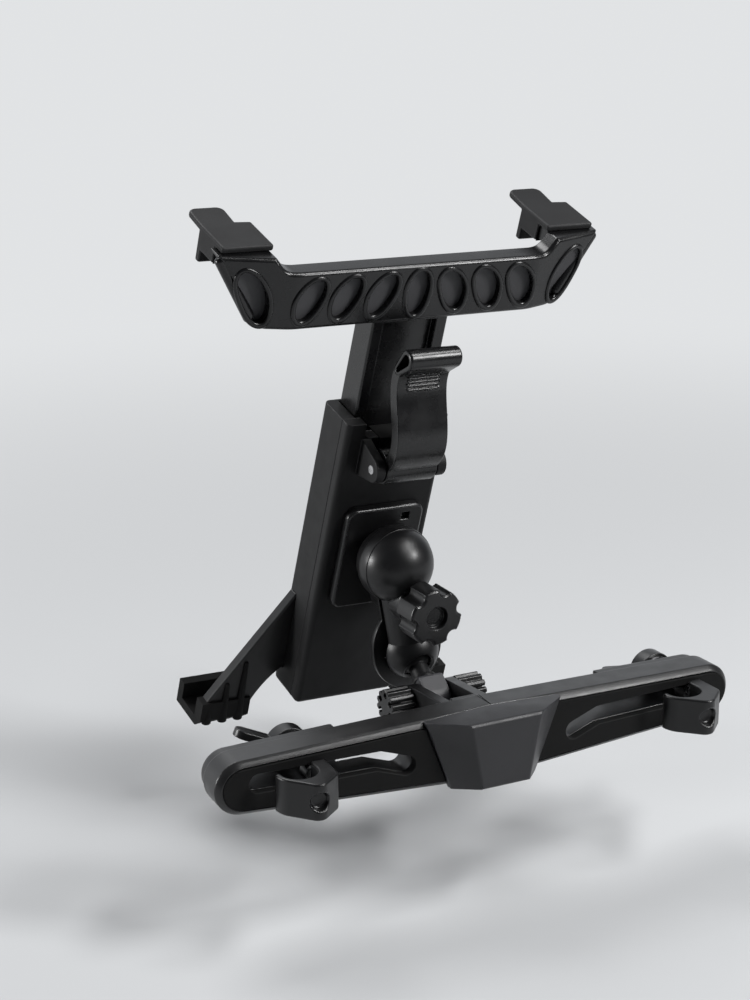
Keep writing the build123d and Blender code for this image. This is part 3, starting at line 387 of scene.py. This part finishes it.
def plated_steel(name, colour):
    """Zinc-plated steel with fine turning scratches."""
    build = NodeBuilder(name)
    stain = build.noise(scale=240.0, detail=4.0)
    tone = build.mix(stain, scaled(colour, 0.78), scaled(colour, 1.1))
    build.link(tone, build.shader.inputs["Base Color"])
    build.link(build.span(stain, low=0.2, high=0.34), build.shader.inputs["Roughness"])
    scratches = build.noise(scale=5200.0, detail=1.0)
    build.link(build.bump(scratches, distance=0.00001), build.shader.inputs["Normal"])
    build.shader.inputs["Metallic"].default_value = 1.0
    return build.material


FINISH = {}


def make_finishes():
    """Makes every finish from the colours and gloss that are set."""
    tone = settings("finishes")
    black, gloss, cover = tone.black_plastic, tone.gloss_plastic, tone.cover_plastic
    FINISH["black"] = moulded_plastic(
        "black_moulding", black, tone.black_roughness, grain=0.0006, depth=0.00002)
    FINISH["smooth"] = moulded_plastic(
        "smooth_moulding", black, tone.black_roughness, grain=0.0009, depth=0.00001)
    FINISH["gloss"] = moulded_plastic(
        "gloss_moulding", gloss, tone.gloss_roughness, grain=0.0008, depth=0.000008)
    FINISH["cover"] = moulded_plastic(
        "cover_moulding", cover, tone.cover_roughness, grain=0.0005, depth=0.00003)
    FINISH["pad"] = moulded_rubber(
        "pad_rubber", tone.pad_rubber, tone.rubber_roughness + 0.14, sheen=0.18)
    FINISH["cap"] = moulded_rubber(
        "cap_rubber", tone.cap_rubber, tone.rubber_roughness, sheen=0.22)
    FINISH["steel"] = plated_steel("zinc_plate", tone.zinc)
    # Arm bolt's end: steel darkened nearly to black, as painted shade of the star knob's recess
    FINISH["dark"] = plated_steel("steel_painted_recess_shade", scaled(tone.zinc, 0.06))
    # Oval dish floors: etched grain, and the black lightened 7.5 times as painted light from the
    # softboxes
    FINISH["floor"] = moulded_plastic(
        "etched_floor_painted_light", scaled(black, 7.5), roughness=0.6, grain=0.00035, depth=0.00005)
    FINISH["matte"] = moulded_plastic(
        "matte_moulding", black, roughness=0.5, grain=0.0005, depth=0.00003, sheen=0.22)
    FINISH["socket"] = moulded_plastic(
        "socket_moulding", gloss, roughness=0.36, grain=0.0008, depth=0.000008)
    FINISH["satin"] = moulded_plastic(
        "satin_moulding", black, roughness=0.37, grain=0.0008, depth=0.000002, sheen=0.5)
    # Tilt block: the cover's grey, doubled as painted light for the block's lit top
    FINISH["block"] = moulded_plastic(
        "hinge_grey_painted_light", scaled(cover, 2.0), roughness=0.46, grain=0.0005, depth=0.00003)


def finish(key):
    """One of the mount's finishes."""
    if not FINISH:
        make_finishes()
    return FINISH[key]


def dress(key, *nodes):
    """Gives CAD nodes their finish."""
    for name in nodes:
        mesh = NODES[name].data
        mesh.materials.clear()
        mesh.materials.append(finish(key))


def soften(key, radius, *nodes, segments=2, reshape=None):
    """Moulded copies of CAD nodes, with their sharp edges rounded and marked as rubbed."""
    crease = settings("edges").crease
    for name in nodes:
        build = bmesh.new()
        build.from_mesh(NODES[name].data)
        polish = build.faces.layers.float.new("edge_polish")
        bmesh.ops.remove_doubles(build, verts=build.verts, dist=WELD)
        bmesh.ops.dissolve_limit(
            build, angle_limit=FLAT, verts=build.verts, edges=build.edges,
            use_dissolve_boundaries=False)
        if reshape:
            reshape(build)
        solid = BVHTree.FromBMesh(build)
        sharp = [e for e in build.edges if e.calc_face_angle(0.0) > crease]
        rounded = bmesh.ops.bevel(
            build, geom=sharp, offset=radius, offset_type="OFFSET", segments=segments, profile=0.5,
            affect="EDGES", clamp_overlap=False, loop_slide=False, material=-1)
        for face in rounded["faces"]:
            face[polish] = 1.0
        draw_back(build, solid, OVERSHOOT * radius)
        piece = add_piece(name + "_moulding", build, key, NODES[name]["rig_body"])
        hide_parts(name)


def draw_back(build, solid, limit):
    """Draws corners that overshot a tight rounding back onto the solid."""
    for vert in build.verts:
        near, _, _, gap = solid.find_nearest(vert.co)
        if gap > limit:
            vert.co = near


def add_piece(name, build, key, body):
    """Finished piece from a bmesh, riding on a body."""
    mesh = bpy.data.meshes.new(name)
    build.to_mesh(mesh)
    build.free()
    mesh.polygons.foreach_set("use_smooth", [True] * len(mesh.polygons))
    mesh.materials.append(finish(key))
    piece = bpy.data.objects.new(name, mesh)
    bpy.context.scene.collection.objects.link(piece)
    even = piece.modifiers.new("even_shading", "WEIGHTED_NORMAL")
    even.weight = 80
    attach(piece, body)
    return piece


def cut_away(build, depth, side):
    """Cuts off what lies past a depth in millimetres, on the far (1) or near (-1) side."""
    everything = build.verts[:] + build.edges[:] + build.faces[:]
    bmesh.ops.bisect_plane(
        build, geom=everything, plane_co=(0.0, depth * MM, 0.0), plane_no=(0.0, side, 0.0),
        clear_outer=True)


def thicken(build, wall):
    """Gives an open shell its wall."""
    bmesh.ops.recalc_face_normals(build, faces=build.faces)
    bmesh.ops.solidify(build, geom=build.faces, thickness=wall)
    bmesh.ops.recalc_face_normals(build, faces=build.faces)


def place(build, turn, origin):
    """Carries a mesh from an assembly's own axes into the mount's frame."""
    bmesh.ops.rotate(build, verts=build.verts, matrix=turn)
    bmesh.ops.translate(build, verts=build.verts, vec=origin)


def full_jaw_bar(z):
    """Height of a point of the jaw bar, whose lower half is drawn deeper than the plain solid."""
    middle, bottom = JAW_BAR_MIDDLE * MM, JAW_BAR_BOTTOM * MM
    if not bottom < z < middle:
        return z
    share = (middle - z) / (middle - bottom)
    return z - settings("details").bar_fullness * share * share * (3.0 - 2.0 * share)


def deepen_jaw_bar(build):
    back = HOLDER_TURN.transposed()
    for vert in build.verts:
        own = back @ (vert.co - UPPER_BALL)
        own.z = full_jaw_bar(own.z)
        vert.co = HOLDER_TURN @ own + UPPER_BALL


def bar_inset(x, z):
    """Distance of a point of a wing of the bar from the wing's outline, in millimetres."""
    if x > BAR_REACH:
        return BAR_TIP - math.hypot(x - BAR_REACH, z)
    taper = BAR_ROOT - BAR_TIP
    return ((BAR_ROOT - abs(z)) * BAR_REACH - x * taper) / math.hypot(taper, BAR_REACH)


def flatten_bar_edge(build):
    """Draws the round front edge of the bar nearer to a flat bevel."""
    flatness = settings("details").bevel_flatness
    front = Vector((0.0, BAR_FRONT, 0.0))
    for vert in build.verts:
        side = 1.0 if vert.co.x > 0.0 else -1.0
        turn = Matrix.Rotation(math.radians(side * BAR_SWEEP), 3, "Z")
        own = turn.transposed() @ (vert.co / MM - front)
        depth, inset = own.y, bar_inset(side * own.x, own.z)
        off_round = math.hypot(BAR_ROUND - depth, BAR_ROUND - inset) - BAR_ROUND
        near_edge = all(-BAR_EDGE_SLACK < value < BAR_ROUND for value in (depth, inset))
        if not near_edge or abs(off_round) > BAR_ROUND_SLACK:
            continue
        step = 0.5 * flatness * (BAR_ROUND - depth - inset)
        own.y += step
        if side * own.x > BAR_REACH:
            spoke = Vector((side * own.x - BAR_REACH, 0.0, own.z)).normalized()
            own -= step * Vector((side * spoke.x, 0.0, spoke.z))
        else:
            own.z -= math.copysign(step, own.z)
        vert.co = (turn @ own + front) * MM


class Oval(NamedTuple):
    """Oval dish in the jaw bar's face, in the holder's own millimetres and degrees."""

    x: float
    z: float
    short: float
    long: float
    lean: float
    slant: float

    def face(self):
        """Depth of the jaw bar's face at the dish."""
        past_bend = max(0.0, abs(self.x) - JAW_BAR_BEND)
        return JAW_BAR_FACE + past_bend * math.tan(math.radians(JAW_BAR_SLANT))


def ovals():
    """Dishes of the jaw bar: one in the middle, then three leaning and an end one on each side."""
    yield Oval(0.0, JAW_BAR_MIDDLE, *OVAL_HALVES, 0.0, 0.0)
    for side in (-1.0, 1.0):
        for i in (1, 2, 3):
            yield Oval(side * i * OVAL_PITCH, JAW_BAR_MIDDLE, *OVAL_HALVES, -side * OVAL_LEAN, 0.0)
        x, z = END_OVAL_PLACE
        yield Oval(side * x, z, *END_OVAL_HALVES, side * END_OVAL_LEAN, side * JAW_BAR_SLANT)


def set_oval(build, oval, slant, sink=0.0):
    """Turns a drawn oval upright and sets it in the jaw bar's face."""
    turn = Matrix.Rotation(math.radians(slant), 3, "Z") @ UPRIGHT
    lean = Matrix.Rotation(math.radians(-oval.lean), 3, "Z")
    bmesh.ops.rotate(build, verts=build.verts, matrix=lean)
    bmesh.ops.rotate(build, verts=build.verts, matrix=turn)
    centre = Vector((oval.x, oval.face() + sink, oval.z)) * MM
    bmesh.ops.translate(build, verts=build.verts, vec=centre)
    for vert in build.verts:
        vert.co.z = full_jaw_bar(vert.co.z)


def round_folds(build, radius, steps):
    """Rounds the edges at which a piece folds sharply."""
    folds = [e for e in build.edges if e.calc_face_angle(0.0) > LIP_FOLD]
    bmesh.ops.bevel(
        build, geom=folds, offset=radius, offset_type="OFFSET", segments=steps, profile=0.5,
        affect="EDGES", material=-1)


def round_rod(length, radius, tip, sides, cap, steps):
    """Upright rod that tapers to its tip and has rounded ends."""
    rod = bmesh.new()
    bmesh.ops.create_cone(
        rod, cap_ends=True, segments=sides, radius1=radius, radius2=tip, depth=length)
    round_folds(rod, cap, steps)
    return rod


def gather(target, part):
    """Adds one bmesh to another."""
    mesh = bpy.data.meshes.new("part")
    part.to_mesh(mesh)
    part.free()
    target.from_mesh(mesh)
    bpy.data.meshes.remove(mesh)


# Operators

class MountOperator:
    """What the mount's operators share"""

    bl_options = {"REGISTER"}


class MOUNT_OT_bar(MountOperator, bpy.types.Operator):
    """Slotted bar with its cover, pads and screws"""

    bl_idname = "mount.bar"
    bl_label = "Headrest bar"

    def execute(self, context):
        edges = settings("edges")
        soften("satin", edges.moulding, "bar_body", reshape=flatten_bar_edge)
        soften("cover", edges.moulding, "bar_front_cover")
        soften("pad", edges.moulding, "left_wing_pad", "right_wing_pad")
        dress("steel", "cover_screws")
        return {"FINISHED"}


class MOUNT_OT_hooks(MountOperator, bpy.types.Operator):
    """Post hooks with bolts, washers and wing nuts"""

    bl_idname = "mount.hooks"
    bl_label = "Post hooks"

    def execute(self, context):
        edges = settings("edges")
        for side in ("left_", "right_"):
            soften("black", edges.hook, side + "hook", segments=3)
            soften("black", edges.moulding, side + "wing_nut")
            dress("steel", side + "hook_bolt", side + "washer")
        return {"FINISHED"}


class MOUNT_OT_tilt_hinge(MountOperator, bpy.types.Operator):
    """Tilt block, cross bolt and ribbed knobs"""

    bl_idname = "mount.tilt_hinge"
    bl_label = "Tilt hinge"

    def execute(self, context):
        edges = settings("edges")
        # The tilt block's finish carries painted light: its grey is lightened to stand for its lit
        # top
        soften("block", edges.moulding, "tilt_block")
        soften("smooth", edges.fine, "right_tilt_knob", "left_tilt_knob")
        dress("steel", "tilt_bolt")
        return {"FINISHED"}


class MOUNT_OT_ball_arm(MountOperator, bpy.types.Operator):
    """Ball studs, clamping halves, bolt and star knob"""

    bl_idname = "mount.ball_arm"
    bl_label = "Ball arm"

    def execute(self, context):
        edges = settings("edges")
        soften("socket", edges.moulding, "arm_near_half", "arm_far_half")
        soften("matte", edges.moulding, "lower_ball_stud", "upper_ball_stud")
        soften("smooth", edges.moulding, "star_knob")
        # The bolt end gets the near-black steel as painted shade of the star knob's recess
        dress("dark", "arm_bolt")
        self.add_dome(settings("details"))
        self.add_lap()
        return {"FINISHED"}

    def add_dome(self, sizes):
        """Dome of the near half over the lower ball, with a long mouth for the neck."""
        build = bmesh.new()
        radius = sizes.dome_radius
        bmesh.ops.create_uvsphere(
            build, u_segments=DOME_SIDES, v_segments=DOME_SIDES // 2, radius=radius)
        for vert in build.verts:
            fall = vert.co.angle(Vector((0.0, 0.0, 1.0)))
            around = math.atan2(vert.co.y, vert.co.x)
            across, along = math.cos(around), math.sin(around)
            mouth = 1.0 / math.hypot(across / sizes.mouth_across, along / sizes.mouth_along)
            fall = mouth + fall / math.pi * (math.pi - mouth)
            reach, height = math.sin(fall), math.cos(fall)
            vert.co = radius * Vector((reach * across, reach * along, height))
        pole = [v for v in build.verts if len(v.link_faces) == DOME_SIDES and v.co.z > 0.0]
        bmesh.ops.delete(build, geom=pole, context="VERTS")
        lean = STUD_AXIS.to_track_quat("Z", "Y").to_matrix()
        bmesh.ops.rotate(build, verts=build.verts, matrix=lean)
        bmesh.ops.rotate(build, verts=build.verts, matrix=ARM_TURN.transposed())
        cut_away(build, SPLIT_EDGE, 1.0)
        thicken(build, sizes.dome_wall)
        round_folds(build, settings("edges").moulding, steps=2)
        place(build, ARM_TURN, LOWER_BALL)
        add_piece("arm_dome", build, "socket", "arm")

    def add_lap(self):
        """Lap of the near half over the seam of the upper socket."""
        build = bmesh.new()
        bmesh.ops.create_uvsphere(
            build, u_segments=LAP_SIDES, v_segments=LAP_RINGS, radius=LAP_RADIUS * MM)
        bmesh.ops.rotate(build, verts=build.verts, matrix=UPRIGHT)
        for depth, side in zip(LAP_SPAN, (-1.0, 1.0)):
            cut_away(build, depth, side)
        thicken(build, LAP_WALL * MM)
        place(build, ARM_TURN, UPPER_BALL)
        add_piece("arm_socket_lap", build, "socket", "arm")


class MOUNT_OT_housing(MountOperator, bpy.types.Operator):
    """Slide housing with its ball plate and screws"""

    bl_idname = "mount.housing"
    bl_label = "Slide housing"

    def execute(self, context):
        edges = settings("edges")
        soften("matte", edges.moulding, "housing_front", "housing_rear")
        soften("black", edges.moulding, "ball_plate")
        dress("steel", "plate_screws", "housing_screws")
        return {"FINISHED"}


class MOUNT_OT_brackets(MountOperator, bpy.types.Operator):
    """Upper and lower brackets with jaw caps and boots"""

    bl_idname = "mount.brackets"
    bl_label = "Brackets"

    def execute(self, context):
        edges = settings("edges")
        soften("gloss", edges.moulding, "upper_bracket", reshape=deepen_jaw_bar)
        soften("black", edges.fine, "lower_bracket")
        soften("cap", edges.rubber, "left_jaw_cap", "right_jaw_cap", segments=3)
        dress("pad", "left_foot_boot", "right_foot_boot")
        details = settings("details")
        self.add_oval_rims(details.rim_bead)
        self.add_oval_floors()
        self.add_end_beads(details.end_bead)
        self.add_boot_ribs(details.boot_rib)
        return {"FINISHED"}

    def add_oval_rims(self, bead):
        """Raised beads round the oval dishes of the jaw bar."""
        rims = bmesh.new()
        circle = 10.0 * MM
        outset, flatness = 0.7 * bead, 0.8
        for oval in ovals():
            ring = bmesh.new()
            bmesh.ops.create_circle(ring, segments=12, radius=bead)
            bmesh.ops.rotate(ring, verts=ring.verts, matrix=UPRIGHT)
            bmesh.ops.translate(ring, verts=ring.verts, vec=(circle, 0.0, 0.0))
            bmesh.ops.spin(
                ring, geom=ring.edges[:] + ring.verts[:], cent=(0, 0, 0), axis=(0, 0, 1),
                angle=math.tau, steps=OVAL_SIDES, use_merge=True)
            bmesh.ops.remove_doubles(ring, verts=ring.verts, dist=WELD)
            for vert in ring.verts:
                around = math.atan2(vert.co.y, vert.co.x)
                across, up = math.cos(around), math.sin(around)
                line = Vector((oval.short * across, oval.long * up, 0.0)) * MM
                out = Vector((across / oval.short, up / oval.long, 0.0)).normalized()
                off = math.hypot(vert.co.x, vert.co.y) - circle
                vert.co = line + out * (off + outset) + Vector((0.0, 0.0, flatness * vert.co.z))
            bmesh.ops.recalc_face_normals(ring, faces=ring.faces)
            set_oval(ring, oval, oval.slant)
            gather(rims, ring)
        place(rims, HOLDER_TURN, UPPER_BALL)
        add_piece("oval_rims", rims, "gloss", "slider")

    def add_oval_floors(self):
        """Matte floors of the oval dishes, their colour lightened as painted light."""
        floors = bmesh.new()
        for oval in ovals():
            disc = bmesh.new()
            bmesh.ops.create_cone(
                disc, cap_ends=True, segments=OVAL_SIDES, radius1=1.0, radius2=1.0, depth=1.0)
            halves = (oval.short - OVAL_FLOOR_GAP, oval.long - OVAL_FLOOR_GAP)
            size = Vector((*halves, OVAL_FLOOR_WALL)) * MM
            bmesh.ops.scale(disc, verts=disc.verts, vec=size)
            set_oval(disc, oval, 0.0, END_FLOOR_SINK if oval.slant else OVAL_FLOOR_SINK)
            gather(floors, disc)
        place(floors, HOLDER_TURN, UPPER_BALL)
        add_piece("oval_floors", floors, "floor", "slider")

    def add_end_beads(self, radius):
        """Thick rounded edges down the slanted ends of the jaw bar."""
        beads = bmesh.new()
        run = END_BEAD_HIGH - END_BEAD_LOW
        middle = (END_BEAD_LOW + END_BEAD_HIGH) * 0.5 * MM
        slope = run.to_track_quat("Z", "Y").to_matrix()
        for side in (-1.0, 1.0):
            bead = round_rod(
                run.length * MM, radius, tip=radius, sides=24, cap=END_BEAD_CAP * MM, steps=6)
            bmesh.ops.rotate(bead, verts=bead.verts, matrix=slope)
            bmesh.ops.translate(bead, verts=bead.verts, vec=middle)
            for vert in bead.verts:
                vert.co.x *= side
                vert.co.z = full_jaw_bar(vert.co.z)
            bmesh.ops.recalc_face_normals(bead, faces=bead.faces)
            gather(beads, bead)
        place(beads, HOLDER_TURN, UPPER_BALL)
        add_piece("jaw_bar_end_beads", beads, "gloss", "slider")

    def add_boot_ribs(self, radius):
        """Upright ribs on the backs of the boots, which end in the teeth of their lower edges."""
        for side, name in ((-1.0, "left"), (1.0, "right")):
            ribs = bmesh.new()
            for i, top in enumerate(RIB_TOPS):
                length = (top - RIB_FOOT) * MM
                rib = round_rod(
                    length, radius, tip=RIB_TAPER * radius, sides=20, cap=RIB_CAP * MM, steps=4)
                bmesh.ops.scale(rib, verts=rib.verts, vec=(1.0, RIB_FLATNESS, 1.0))
                x = side * (RIB_OUTER - RIB_PITCH * i)
                middle = Vector((x, RIB_BACK, (RIB_FOOT + top) / 2)) * MM
                bmesh.ops.translate(rib, verts=rib.verts, vec=middle)
                gather(ribs, rib)
            place(ribs, HOLDER_TURN, UPPER_BALL)
            add_piece(name + "_boot_ribs", ribs, "pad", "holder")


class MOUNT_OT_cam_lever(MountOperator, bpy.types.Operator):
    """Cam lever with its pin and brake shoe"""

    bl_idname = "mount.cam_lever"
    bl_label = "Cam lever"

    def execute(self, context):
        edges = settings("edges")
        soften("gloss", edges.moulding, "cam_lever")
        dress("steel", "lever_pin")
        dress("pad", "brake_shoe")
        return {"FINISHED"}


class MOUNT_OT_stage(MountOperator, bpy.types.Operator):
    """Pale floor, soft lights and the camera"""

    bl_idname = "mount.stage"
    bl_label = "Studio stage"

    def execute(self, context):
        stage = settings("stage")
        add_camera(stage)
        add_floor(stage)
        add_lights()
        set_world()
        context.scene.view_settings.view_transform = "Standard"
        return {"FINISHED"}


def add_camera(stage):
    """Long lens from the front, left and above."""
    data = bpy.data.cameras.new("camera")
    data.lens = stage.lens
    data.sensor_width = 36.0
    data.sensor_fit = "AUTO"
    data.clip_start = 0.05
    data.clip_end = 30.0
    camera = bpy.data.objects.new("camera", data)
    bpy.context.scene.collection.objects.link(camera)
    camera.location = stage.camera_place
    camera.rotation_mode = "QUATERNION"
    camera.rotation_quaternion = Vector(stage.camera_aim).to_track_quat("-Z", "Y")
    bpy.context.scene.camera = camera


def math_node(tree, operation, first, second):
    """Two values brought together."""
    node = tree.nodes.new("ShaderNodeMath")
    node.operation = operation
    tree.links.new(first, node.inputs[0])
    tree.links.new(second, node.inputs[1])
    return node.outputs["Value"]


def fade_node(tree, value, start, end):
    """Smooth rise from nought to one between two values."""
    node = tree.nodes.new("ShaderNodeMapRange")
    node.interpolation_type = "SMOOTHSTEP"
    tree.links.new(value, node.inputs["Value"])
    node.inputs["From Min"].default_value = start
    node.inputs["From Max"].default_value = end
    return node.outputs["Result"]


def eye_share(tree, seen, mirrored):
    """Share of the pale backdrop for the camera's rays, and for mirrored or transmitted ones."""
    rays = tree.nodes.new("ShaderNodeLightPath").outputs
    bent = math_node(tree, "MAXIMUM", rays["Is Glossy Ray"], rays["Is Transmission Ray"])
    bent = math_node(tree, "MULTIPLY", bent, mirrored)
    direct = rays["Is Camera Ray"]
    if seen is not None:
        direct = math_node(tree, "MULTIPLY", direct, seen)
    return math_node(tree, "MAXIMUM", direct, bent)


def floor_paper(colour):
    """Pale paper that keeps the mount's shadow near it and runs out evenly into the distance."""
    build = NodeBuilder("floor_paper")
    tree = build.tree
    mottle = build.noise(scale=6.0, detail=2.0)
    paper = build.mix(mottle, scaled(colour, 0.99), scaled(colour, 1.01))
    build.link(paper, build.shader.inputs["Base Color"])
    build.shader.inputs["Roughness"].default_value = 0.95
    build.shader.inputs["Specular IOR Level"].default_value = 0.1
    depth = build.add("ShaderNodeSeparateXYZ", Vector=build.place).outputs["Y"]
    reach = tree.nodes.new("ShaderNodeVectorMath")
    reach.operation = "LENGTH"
    build.link(build.place, reach.inputs[0])
    far = fade_node(tree, reach.outputs["Value"], start=0.3, end=0.85)
    behind = fade_node(tree, depth, start=-0.1, end=0.9)
    share = eye_share(tree, seen=far, mirrored=behind)
    glow = build.add("ShaderNodeEmission", Color=(*scaled(colour, 1.35), 1.0), Strength=1.0)
    mix = tree.nodes.new("ShaderNodeMixShader")
    build.link(share, mix.inputs["Fac"])
    build.link(build.shader.outputs["BSDF"], mix.inputs[1])
    build.link(glow.outputs["Emission"], mix.inputs[2])
    build.link(mix.outputs["Shader"], tree.nodes["Material Output"].inputs["Surface"])
    return build.material


def add_floor(stage):
    """Wide pale floor below the mount."""
    mesh = bpy.data.meshes.new("floor")
    build = bmesh.new()
    bmesh.ops.create_grid(build, x_segments=8, y_segments=8, size=8.0)
    bmesh.ops.translate(build, verts=build.verts, vec=(0, 0, CAD_BOX[0][2] - stage.floor_drop))
    build.to_mesh(mesh)
    build.free()
    floor = bpy.data.objects.new("floor", mesh)
    bpy.context.scene.collection.objects.link(floor)
    mesh.materials.append(floor_paper(stage.floor_colour))


def area_light(name, spot, aim, size, power):
    """Softbox that shines from a spot at an aim."""
    data = bpy.data.lights.new(name, "AREA")
    data.shape = "RECTANGLE"
    data.size, data.size_y = size
    data.energy = power
    lamp = bpy.data.objects.new(name, data)
    bpy.context.scene.collection.objects.link(lamp)
    lamp.location = spot
    lamp.rotation_mode = "QUATERNION"
    lamp.rotation_quaternion = (Vector(aim) - Vector(spot)).to_track_quat("-Z", "Y")


def add_lights():
    """Four softboxes round the mount."""
    middle = (0.0, 0.06, 0.06)
    area_light("top_softbox", (-0.1, 0.75, 1.15), middle, size=(0.7, 0.5), power=8.0)
    area_light("left_softbox", (-0.99, 0.42, 0.22), middle, size=(0.24, 0.28), power=6.5)
    area_light("right_softbox", (0.63, -0.64, 0.62), middle, size=(0.26, 0.3), power=8.0)
    area_light("front_strip", (0.48, -0.36, 0.98), middle, size=(0.5, 0.16), power=6.0)


def set_world():
    """Dim room with a pale backdrop behind the mount."""
    world = bpy.data.worlds.new("studio")
    world.use_nodes = True
    tree = world.node_tree
    dim = tree.nodes["Background"]
    dim.inputs["Color"].default_value = (0.9, 0.93, 1.0, 1.0)
    dim.inputs["Strength"].default_value = 0.1
    pale = tree.nodes.new("ShaderNodeBackground")
    pale.inputs["Color"].default_value = (0.93, 0.96, 1.0, 1.0)
    pale.inputs["Strength"].default_value = 0.85
    way = tree.nodes.new("ShaderNodeSeparateXYZ")
    tree.links.new(tree.nodes.new("ShaderNodeTexCoord").outputs["Generated"], way.inputs[0])
    behind = fade_node(tree, way.outputs["Y"], start=0.1, end=0.75)
    share = eye_share(tree, seen=None, mirrored=behind)
    mix = tree.nodes.new("ShaderNodeMixShader")
    tree.links.new(share, mix.inputs["Fac"])
    tree.links.new(dim.outputs["Background"], mix.inputs[1])
    tree.links.new(pale.outputs["Background"], mix.inputs[2])
    tree.links.new(mix.outputs["Shader"], tree.nodes["World Output"].inputs["Surface"])
    bpy.context.scene.world = world


class MOUNT_PT_panel(bpy.types.Panel):
    """Lists the mount's pieces"""

    bl_idname = "MOUNT_PT_panel"
    bl_label = "Headrest tablet mount"
    bl_space_type = "VIEW_3D"
    bl_region_type = "UI"
    bl_category = "Mount"

    def draw(self, context):
        for operator in OPERATORS:
            self.layout.operator(operator.bl_idname)
        for kind in GROUPS:
            box = self.layout.box()
            group = settings(kind)
            for key in group.__annotations__:
                box.prop(group, key)


GROUPS = {
    "finishes": MountFinishes, "edges": MountEdges, "details": MountDetails, "stage": MountStage,
}
OPERATORS = (
    MOUNT_OT_bar, MOUNT_OT_hooks, MOUNT_OT_tilt_hinge, MOUNT_OT_ball_arm,
    MOUNT_OT_housing, MOUNT_OT_brackets, MOUNT_OT_cam_lever, MOUNT_OT_stage,
)
CLASSES = (*GROUPS.values(), *OPERATORS, MOUNT_PT_panel)


def register():
    for cls in CLASSES:
        bpy.utils.register_class(cls)
    for kind, group in GROUPS.items():
        setattr(bpy.types.Scene, "mount_" + kind, bpy.props.PointerProperty(type=group))


def unregister():
    for kind in GROUPS:
        delattr(bpy.types.Scene, "mount_" + kind)
    for cls in reversed(CLASSES):
        bpy.utils.unregister_class(cls)


def main():
    register()
    for operator in OPERATORS:
        group, name = operator.bl_idname.split(".")
        getattr(getattr(bpy.ops, group), name)()


if __name__ == "__main__":
    main()
